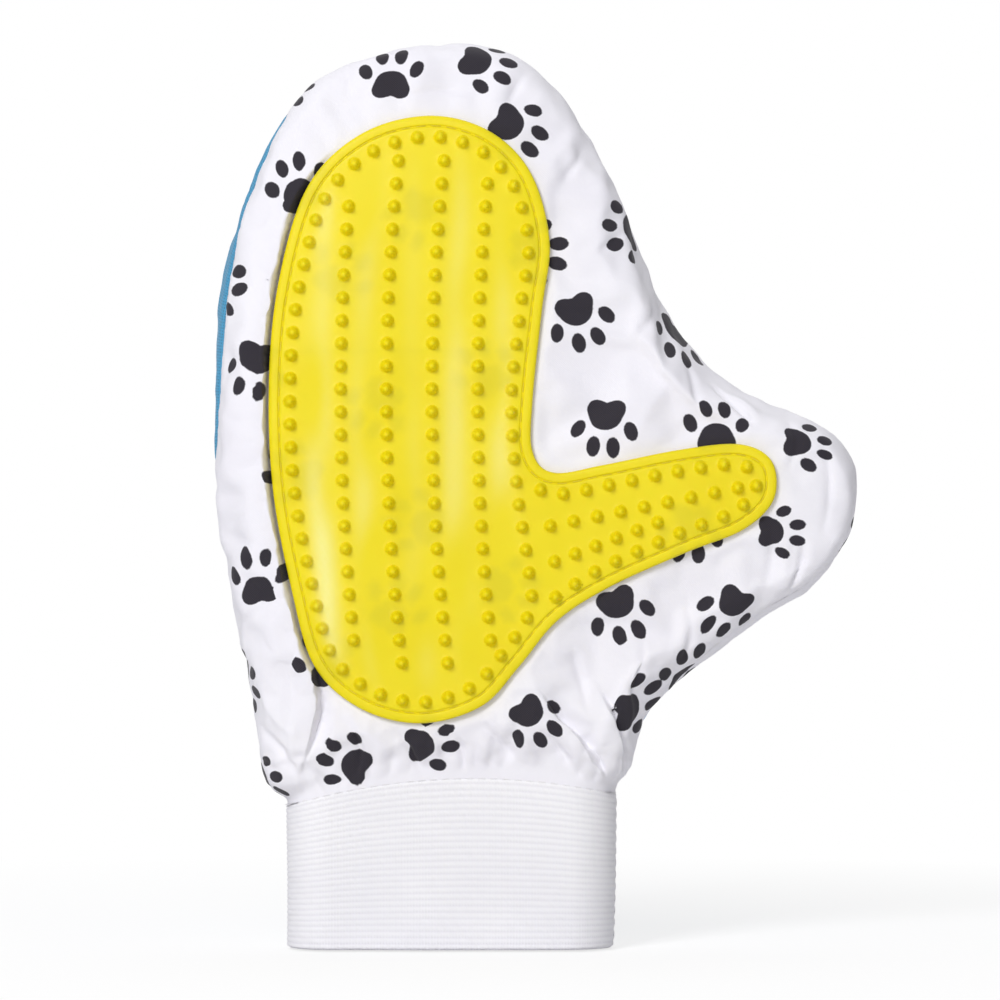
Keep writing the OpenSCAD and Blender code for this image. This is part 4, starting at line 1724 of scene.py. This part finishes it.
    def lift(self, flat: Array, edge: Array) -> Array:
        """How far the pad's edge stands off the cloth and its field undulates.

        Args:
            flat: flat points in mm.
            edge: the pad's edge.
        Returns:
            Heights in mm.
        """
        deep = np.maximum(depth_inside(flat, edge), 0)
        left = ease((-flat[:, 0] - 20) / 20)
        return -0.2 * left * np.exp(-deep / 5.0) + 0.15 * (1 + SoftNoise(5, 18.0, 40.0).at(flat))


@dataclass
class StitchLine:
    """A row of separate stitches.

    Attributes:
        length: length of a stitch in mm.
        space: gap between two.
        radius: radius of the thread.
        bow: how much a stitch arches.
        sides: points round the thread.
    """

    length: float = 2.6
    space: float = 1.4
    radius: float = 0.3
    bow: float = 0.15
    sides: int = 8

    def build(self, path: Array, normals: Array) -> Surface:
        """Stitches along a path.

        Args:
            path: places of an open path in mm.
            normals: outward normals along it.
        Returns:
            All the stitches as one surface.
        """
        total = arc_lengths(path)[-1]
        n = max(1, round(total / (self.length + self.space)))
        size = total / n
        share = self.length / (self.length + self.space)
        steps = np.array([0.0, 0.06, 0.2, 0.5, 0.8, 0.94, 1.0])
        swell = np.array([0.25, 0.75, 1.0, 1.0, 1.0, 0.75, 0.25])
        at = (((np.arange(n) + (1 - share) / 2)[:, None] + share * steps) * size).ravel()
        mid = along(path, path, at)
        ahead = along(path, path, np.minimum(at + 0.2, total)) - along(path, path, np.maximum(at - 0.2, 0))
        up = along(path, normals, at)
        t = ahead / np.linalg.norm(ahead, axis=1, keepdims=True)
        up -= (up * t).sum(1, keepdims=True) * t
        up /= np.linalg.norm(up, axis=1, keepdims=True)
        side = np.cross(t, up)
        mid = mid + up * np.tile(self.bow * np.sin(np.pi * steps), n)[:, None]
        turn = np.arange(self.sides) * TAU / self.sides
        thread = np.cos(turn)[:, None] * up[:, None] + np.sin(turn)[:, None] * side[:, None]
        ring = mid[:, None] + np.tile(swell * self.radius, n)[:, None, None] * thread
        flat = np.stack([np.repeat(at, self.sides), np.tile(turn * self.radius, len(mid))], 1)
        rows = len(steps)
        last = (rows - 1) * self.sides
        fan = range(1, self.sides - 1)
        caps = [(0, k + 1, k) for k in fan] + [(last, last + k, last + k + 1) for k in fan]
        one = np.vstack([grid_tris(rows, self.sides, True)[:, ::-1], caps])
        tris = np.vstack([one + i * rows * self.sides for i in range(n)])
        return Surface(ring.reshape(-1, 3), tris, flat)


# The cuff


@dataclass
class RibbedCuff:
    """The knitted cuff: a soft double band with fine ribs round it.

    Attributes:
        wrist: its oval and its sewn line.
        wall: thickness in mm.
        rib: pitch of the ribs in mm.
        relief: height of the ribs in mm.
        columns: points round it.
        rib_steps: rows of points to a rib.
        height: height in mm.
        girth: length round it in mm.
        join_inset: how far inside its outer face the thread of its upper seam lies, in mm.
        join_drop: how far below the sewn line that thread lies, in mm.
    """

    wrist: Wrist
    wall: float = 1.8
    rib: float = 1.55
    relief: float = 0.22
    columns: int = 264
    rib_steps: int = 6
    height: float = 43.0
    girth: float = 204.5
    join_inset: float = 0.45
    join_drop: float = 0.7

    def ring(self) -> tuple[Array, Array]:
        """The cuff's oval from above.

        Returns:
            Points and outward normals.
        """
        r, c = self.wrist.half_depth, self.wrist.half_width - self.wrist.half_depth
        turn = np.linspace(0, math.pi, 60)
        right = np.stack([c + r * np.sin(turn), -r * np.cos(turn)], 1)
        loop = np.vstack([right[30:], -right, right[:30]])
        loop = resample(loop, arc_lengths(looped(loop))[-1] / self.columns, True)
        return loop, -left_of(loop, True)

    def row(self, share: float, lift: float) -> Array:
        """A level row of points round the cuff.

        Args:
            share: height as a share of the cuff's.
            lift: how far outside the plain oval, in mm.
        Returns:
            The points, the first at the closing seam.
        """
        loop, out = self.ring()
        around = np.arange(len(loop)) / len(loop)
        low = 1 - share
        slow, quick = np.sin(TAU * (3 * around + 0.4 * share)), np.sin(TAU * (7 * around + 0.2))
        sway = low * (0.35 * slow + 0.2 * quick)
        taper = -1.0 * low * ease((loop[:, 0] - 30) / 14)
        seam = -0.4 * np.exp(-((np.minimum(around, 1 - around) * self.girth / 0.9) ** 2))
        xy = loop + out * (lift + sway + taper + seam)[:, None]
        hem = 0.25 * np.sin(TAU * (2 * around + 0.1)) * ease(share / 0.1) * low
        return np.column_stack([xy, share * (self.wrist.line(loop[:, 0]) - 0.25) + hem])

    def build(self) -> Surface:
        """The band.

        Returns:
            A closed surface.
        """
        n = len(self.ring()[0])
        ribs = int(self.height / self.rib)
        share = np.linspace(0, 1, ribs * self.rib_steps + 1)
        phase = np.arange(len(share)) % self.rib_steps / self.rib_steps
        bump = np.abs(np.sin(np.pi * phase)) ** 0.8
        ends = ease(share / 0.015) * ease((1 - share) / 0.03)
        # The third value of a row is painted shade: darkest down between the ribs, and half on the inner
        # face.
        rows = [(s, self.relief * (b - 1) - 0.6 * (1 - e), 1 - b) for s, b, e in zip(share, bump, ends)]
        rows += [(s, -self.wall, 0.5) for s in np.linspace(0.995, 0.005, 24)]
        around = np.arange(n) / n * self.girth
        places = [self.row(share, lift) for share, lift, _ in rows]
        flats = [np.column_stack([around, np.full(n, share * self.height)]) for share, _, _ in rows]
        valley = [np.full(n, low) for _, _, low in rows]
        tris = grid_tris(len(rows) + 1, n, True) % (len(rows) * n)
        surface = Surface(np.vstack(places), tris, np.vstack(flats))
        surface.values["valley"] = np.concatenate(valley)
        return surface


# The mitt


@dataclass(frozen=True)
class Bend:
    """Where a piece would bend from one body to the next; the bend is not made here.

    Attributes:
        body: body it bends to, from the palm; not used.
        start: where it still goes with the palm, in mm; not used.
        end: where it goes with the body; not used.
    """

    body: str
    start: tuple[float, float, float]
    end: tuple[float, float, float]

    def apply(self, obj: bpy.types.Object) -> None:
        """Bakes a piece's place into its mesh."""
        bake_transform(obj)


class Zone(Enum):
    """Parts of the hand, which the cloth, pad and seams are cut into."""

    FINGERS = "fingers"
    MIDDLE = "middle"
    WRIST = "wrist"
    THUMB = "thumb"


@dataclass
class Mitt:
    """The whole mitt.

    Attributes:
        finishes: material of each slot.
        thumb: seam of the thumb's back.
        hinge: a place on the thumb's fold, in mm.
        thumb_bend: how far across from that fold the bend starts and ends, in mm.
        finger_bend: heights in mm between which the fingers bend.
        cut: line across the front and back where the fingers' pieces start, in mm.
        pad_cut: height in mm where the pad is cut.
        hem: height in mm below which the wrist's pieces start.
        front_fullness: how much wider the front's gathered hem was cut.
        back_fullness: the same at the back.
    """

    finishes: dict[Slot, bpy.types.Material]
    thumb: ThumbSeam = ThumbSeam()
    hinge: tuple[float, float, float] = (64.21, 0.0, 110.0)
    thumb_bend: tuple[float, float] = (-4.0, 12.0)
    finger_bend: tuple[float, float] = (162.0, 189.0)
    cut: Points = ((-110.0, 158.0), (30.0, 156.0), (53.0, 150.5), (75.0, 170.0), (120.0, 200.0))
    pad_cut: float = 158.0
    hem: float = 62.0
    front_fullness: float = 1.12
    back_fullness: float = 1.07

    def __post_init__(self) -> None:
        """Sets out where each zone bends."""
        lean = math.radians(self.thumb.lean)
        hinge = np.array(self.hinge)
        across = np.array([math.cos(lean), 0.0, -math.sin(lean)])
        by_thumb = Bend("thumb", *(tuple(hinge + far * across) for far in self.thumb_bend))
        self.bends = {
            Zone.FINGERS: Bend("fingers", *((0, 0, z) for z in self.finger_bend)),
            Zone.MIDDLE: by_thumb,
            Zone.THUMB: by_thumb,
            Zone.WRIST: Bend("cuff", (0, 0, 57.5), (0.7, 0, 46.5)),
        }

    def zones(self, flat: Array, back: bool) -> Array:
        """Zone of each flat place.

        Args:
            flat: flat places in mm.
            back: whether they are on the back, where the thumb is a piece of its own.
        Returns:
            The zones.
        """
        x, z = flat.T
        out = np.full(len(flat), Zone.MIDDLE, object)
        if back:
            out[x > self.thumb.across(z)] = Zone.THUMB
        out[z < self.hem] = Zone.WRIST
        cx, cz = np.array(self.cut).T
        out[z > np.interp(x, cx, cz)] = Zone.FINGERS
        return out

    def add(self, obj: bpy.types.Object, slot: Slot, zone: Zone | None, nodes: tuple[str, ...]) -> None:
        """Hides the CAD nodes a piece replaces, then hangs it on the cuff's body or bakes its place into its
        mesh.

        Args:
            obj: the piece.
            slot: its material slot; not used.
            zone: its zone, or none if it goes with the cuff.
            nodes: CAD nodes it replaces.
        """
        if nodes:
            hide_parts(*nodes)
        if zone is None:
            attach(obj, "cuff")
        else:
            self.bends[zone].apply(obj)

    def sew(
        self, surface: Surface, shell: Shell, side: Side, slack: float, pieces: dict[Zone, tuple]
    ) -> None:
        """Cuts a face into its pieces.

        Args:
            surface: the face.
            shell: the shell it belongs to.
            side: front or back.
            slack: how much larger the cloth was cut.
            pieces: name, slot and CAD nodes of each zone's piece.
        """
        back = side is Side.BACK
        normals = surface.normals()
        zone = self.zones(surface.flat[surface.tris].mean(1), back)
        fullness = self.back_fullness if back else self.front_fullness
        for key, (name, slot, nodes) in pieces.items():
            part, bent = surface.part(zone == key, normals)
            (wide, long), area = part.flat_size()
            full = fullness if key is Zone.WRIST else 1.0
            flat, area = (wide * slack * full, long * slack), area * slack * slack * full
            skin, shading = part.thickened(bent, shell.cloth)
            obj = skin.to_object(name, self.finishes[slot], shading)
            self.add(obj, slot, key, nodes)

    def cut_up(
        self, whole: Surface, slot: Slot, pieces: dict[Zone, tuple[Array, str, tuple[str, ...]]]
    ) -> None:
        """Cuts rubber or thread into its pieces.

        Args:
            whole: the surface.
            slot: its material slot.
            pieces: triangles, name and CAD nodes of each zone's piece.
        """
        normals = whole.normals()
        for zone, (mask, name, nodes) in pieces.items():
            part, bent = whole.part(mask, normals)
            self.add(part.to_object(name, self.finishes[slot], bent), slot, zone, nodes)

    def build(self) -> None:
        """Builds every piece."""
        wrist = Wrist()
        pad = NubPad()
        shell = Shell(wrist, PawPrint(), pad.outline(), self.thumb)
        loose, snug = ClothRelaxer(), ClothRelaxer(slack=1.025)
        front, back = shell.face(Side.FRONT, loose), shell.face(Side.BACK, snug)
        front_pieces = {
            Zone.FINGERS: ("front_cloth_fingers", Slot.COTTON, ("finger_panel",)),
            Zone.MIDDLE: ("front_cloth_palm", Slot.COTTON, ("palm_panel", "thumb_panel")),
            Zone.WRIST: ("front_cloth_wrist", Slot.COTTON, ("wrist_gather",)),
        }
        self.sew(front, shell, Side.FRONT, loose.slack, front_pieces)
        back_pieces = {
            Zone.FINGERS: ("back_cloth_fingers", Slot.BLUE, ("finger_back",)),
            Zone.MIDDLE: ("back_cloth_palm", Slot.BLUE, ("back_panel",)),
            Zone.THUMB: ("back_cloth_thumb", Slot.COTTON, ("thumb_back",)),
            Zone.WRIST: ("back_cloth_wrist", Slot.BLUE, ()),
        }
        self.sew(back, shell, Side.BACK, snug.slack, back_pieces)
        self.build_pad(pad, shell)
        self.build_seams(shell, front)
        self.build_cuff(wrist)

    def build_pad(self, pad: NubPad, shell: Shell) -> None:
        """Builds the rubber pad and its stitching.

        Args:
            pad: the pad.
            shell: the shell it lies on.
        """
        whole = pad.build(shell)
        upper = whole.flat[whole.tris].mean(1)[:, 1] > self.pad_cut
        pieces = {
            Zone.FINGERS: (upper, "rubber_pad_fingers", ("finger_pad",)),
            Zone.MIDDLE: (~upper, "rubber_pad_palm", ("palm_pad", "thumb_pad")),
        }
        self.cut_up(whole, Slot.RUBBER, pieces)
        edge = pad.outline()
        groove = looped(edge + left_of(edge, True) * pad.groove_inset)
        level = shell.palm_height(groove) + pad.off_cloth + pad.lift(groove, edge) + pad.groove_level
        path = np.stack([groove[:, 0], -level, groove[:, 1]], 1)
        stitches = StitchLine(radius=0.15, bow=0.05).build(path, np.tile((0.0, -1.0, 0.0), (len(path), 1)))
        upper = stitches.pos[stitches.tris].mean(1)[:, 2] > self.pad_cut
        pieces = {
            Zone.FINGERS: (upper, "pad_stitches_fingers", ("finger_pad_stitching",)),
            Zone.MIDDLE: (~upper, "pad_stitches_palm", ("palm_pad_stitching", "thumb_pad_stitching")),
        }
        self.cut_up(stitches, Slot.PAD_THREAD, pieces)

    def build_seams(self, shell: Shell, front: Surface) -> None:
        """Builds the thread of the side seam.

        Args:
            shell: the shell.
            front: its front, sewn and relaxed.
        """
        arc = shell.reach(Side.FRONT) * (shell.radius + shell.depth) / 2
        line = shell.flat_edge + shell.out * (arc - 0.05)[:, None]
        normals = front.normals()
        near = [int(((front.flat - p) ** 2).sum(1).argmin()) for p in line]
        path, up = front.pos[near] - 0.2 * normals[near], normals[near]
        keep = np.concatenate([[True], np.linalg.norm(np.diff(path, axis=0), axis=1) > 0.3])
        path, up = path[keep], up[keep]
        stitches = StitchLine(length=2.4, space=0.8, radius=0.22, bow=0.05).build(path, up)
        zone = self.zones(stitches.pos[stitches.tris].mean(1)[:, [0, 2]], False)
        pieces = {
            Zone.FINGERS: (zone == Zone.FINGERS, "side_seam_fingers", ("finger_side_seam",)),
            Zone.MIDDLE: (zone == Zone.MIDDLE, "side_seam_palm", ("palm_side_seam", "thumb_side_seam")),
            Zone.WRIST: (zone == Zone.WRIST, "side_seam_wrist", ()),
        }
        self.cut_up(stitches, Slot.SEAM_THREAD, pieces)

    def build_cuff(self, wrist: Wrist) -> None:
        """Builds the cuff and its two seams.

        Args:
            wrist: the cuff's oval and sewn line.
        """
        cuff = RibbedCuff(wrist)
        obj = cuff.build().to_object("ribbed_cuff", self.finishes[Slot.RIB])
        self.add(obj, Slot.RIB, None, ("cuff_knit",))
        loop, out = cuff.ring()
        ring, normal = looped(loop - out * cuff.join_inset), looped(out)
        path = np.column_stack([ring, wrist.line(ring[:, 0]) - cuff.join_drop])
        up = np.column_stack([normal, np.zeros(len(normal))])
        thread = self.finishes[Slot.SEAM_THREAD]
        stitches = StitchLine(length=2.2, space=1.0, radius=0.2, bow=0.05).build(path, up)
        obj = stitches.to_object("cuff_join_stitches", thread)
        self.add(obj, Slot.SEAM_THREAD, None, ("cuff_join_seam",))
        path = np.array([cuff.row(share, 0.1)[0] for share in np.linspace(0.04, 0.96, 60)])
        up = np.tile((1.0, 0.0, 0.0), (len(path), 1))
        stitches = StitchLine(length=2.4, space=0.8, radius=0.25, bow=0.1).build(path, up)
        obj = stitches.to_object("cuff_closing_stitches", thread)
        self.add(obj, Slot.SEAM_THREAD, None, ("cuff_closing_seam",))


# Studio


@dataclass
class Studio:
    """White studio: a pale floor, soft lamps and a long lens.

    Attributes:
        frame_mm: width of the picture at the mitt.
        centre: middle of the picture in mm.
        distance: distance of the camera in mm.
        floor_half: half the floor's width in metres.
        floor_drop: how far below the mitt the floor lies, in metres.
    """

    frame_mm: float = 266.0
    centre: tuple[float, float, float] = (12.9, 0.0, 118.8)
    distance: float = 1500.0
    floor_half: float = 6.0
    floor_drop: float = 0.0006

    def lamp(self, name: str, place: tuple[float, float, float], size: float, power: float) -> None:
        """Adds a square lamp that faces the mitt.

        Args:
            name: its name.
            place: where it is, in mm.
            size: its width in mm.
            power: watts.
        """
        data = bpy.data.lights.new(name, "AREA")
        data.shape, data.size, data.energy = "SQUARE", size * MM, power
        obj = bpy.data.objects.new(name, data)
        obj.location = Vector(place) * MM
        obj.rotation_euler = (Vector(self.centre) - Vector(place)).to_track_quat("-Z", "Y").to_euler()
        bpy.context.scene.collection.objects.link(obj)

    def seen(self, tree: bpy.types.NodeTree) -> bpy.types.NodeSocket:
        """Whether a ray shows the background, straight, mirrored or through something.

        Args:
            tree: node tree.
        Returns:
            A socket with 1 where it does.
        """
        path = add_node(tree, "ShaderNodeLightPath").outputs
        rays = [path[f"Is {kind} Ray"] for kind in ("Camera", "Glossy", "Transmission")]
        two = add_node(tree, MATH, {0: rays[0], 1: rays[1]}, operation="MAXIMUM").outputs[0]
        return add_node(tree, MATH, {0: two, 1: rays[2]}, operation="MAXIMUM").outputs[0]

    def floor(self) -> bpy.types.Object:
        """Adds the floor.

        Returns:
            The floor.
        """
        material = bpy.data.materials.new("studio_floor")
        material.use_nodes = True
        tree = material.node_tree
        tree.nodes.clear()
        place = add_node(tree, "ShaderNodeTexCoord").outputs["Object"]
        far = add_node(tree, "ShaderNodeVectorMath", {0: place}, operation="LENGTH").outputs["Value"]
        share = add_node(tree, "ShaderNodeMapRange", {0: far, 1: 0.1, 2: 0.4, 3: 0.75, 4: 1.0}).outputs[0]
        share = add_node(tree, MATH, {0: share, 1: self.seen(tree)}, operation="MULTIPLY").outputs[0]
        noise = add_node(tree, NOISE, {"Scale": 6.0}).outputs[0]
        rough = add_node(tree, MATH, {0: noise, 1: 0.1, 2: 0.85}, operation="MULTIPLY_ADD").outputs[0]
        paper = {"Color": linear("F4F4F6"), "Roughness": rough}
        matt = add_node(tree, "ShaderNodeBsdfDiffuse", paper).outputs[0]
        glow = add_node(tree, "ShaderNodeEmission", {"Strength": 1.0}).outputs[0]
        both = add_node(tree, "ShaderNodeMixShader", {0: share, 1: matt, 2: glow}).outputs[0]
        add_node(tree, "ShaderNodeOutputMaterial", {"Surface": both})
        mesh = bpy.data.meshes.new("studio_floor")
        r = self.floor_half
        mesh.from_pydata([(-r, -r, 0), (r, -r, 0), (r, r, 0), (-r, r, 0)], [], [(0, 1, 2, 3)])
        mesh.materials.append(material)
        obj = bpy.data.objects.new("studio_floor", mesh)
        obj.location.z = -self.floor_drop
        bpy.context.scene.collection.objects.link(obj)
        return obj

    def build(self) -> None:
        """Sets up floor, lamps, world and camera."""
        self.floor()
        self.lamp("key_lamp", (-700, -1600, 1000), 600, 20.5)
        self.lamp("fill_lamp", (-250, -1900, 300), 1300, 7.4)
        self.lamp("top_lamp", (100, 500, 1300), 900, 6.0)
        world = bpy.data.worlds.new("studio")
        world.use_nodes = True
        tree = world.node_tree
        tree.nodes.clear()
        # White where it is seen, and a weaker light on the mitt.
        shown = {0: self.seen(tree), 1: 0.72, 2: 0.28}
        level = add_node(tree, MATH, shown, operation="MULTIPLY_ADD").outputs[0]
        sky = add_node(tree, "ShaderNodeBackground", {"Color": (1, 1, 1, 1), "Strength": level}).outputs[0]
        add_node(tree, "ShaderNodeOutputWorld", {"Surface": sky})
        scene = bpy.context.scene
        scene.world = world
        scene.view_settings.view_transform = "Standard"
        data = bpy.data.cameras.new("camera")
        data.sensor_width = 36.0
        data.lens = 36.0 * self.distance / self.frame_mm
        data.clip_end = 20.0
        camera = bpy.data.objects.new("camera", data)
        eye = Vector(self.centre) - Vector((0.0, self.distance, 0.0))
        camera.location = eye * MM
        camera.rotation_euler = (Vector(self.centre) - eye).to_track_quat("-Z", "Y").to_euler()
        scene.collection.objects.link(camera)
        scene.camera = camera


def main() -> None:
    """Builds the scene."""
    logging.basicConfig(level=logging.INFO, format="%(name)s %(message)s")
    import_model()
    finishes = {
        Slot.COTTON: PrintedCotton("printed cotton, plain weave", "F6F5FA", "EEECF5").build(),
        Slot.BLUE: MeshKnit("blue warp knit", "58A9D2", "4594C0").build(),
        Slot.RUBBER: MouldedRubber("yellow moulded rubber", "F1E01A", "E7D30F").build(),
        Slot.PAD_THREAD: SewingThread("yellow polyester thread", "EFDF38", "E0CC24").build(),
        Slot.SEAM_THREAD: SewingThread("white polyester thread", "F7F6F9", "E6E4EB").build(),
        Slot.RIB: RibKnit("white rib knit", "FBFAFD", "E2E0E9").build(),
    }
    Mitt(finishes).build()
    Studio().build()
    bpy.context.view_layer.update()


if __name__ == "__main__":
    main()
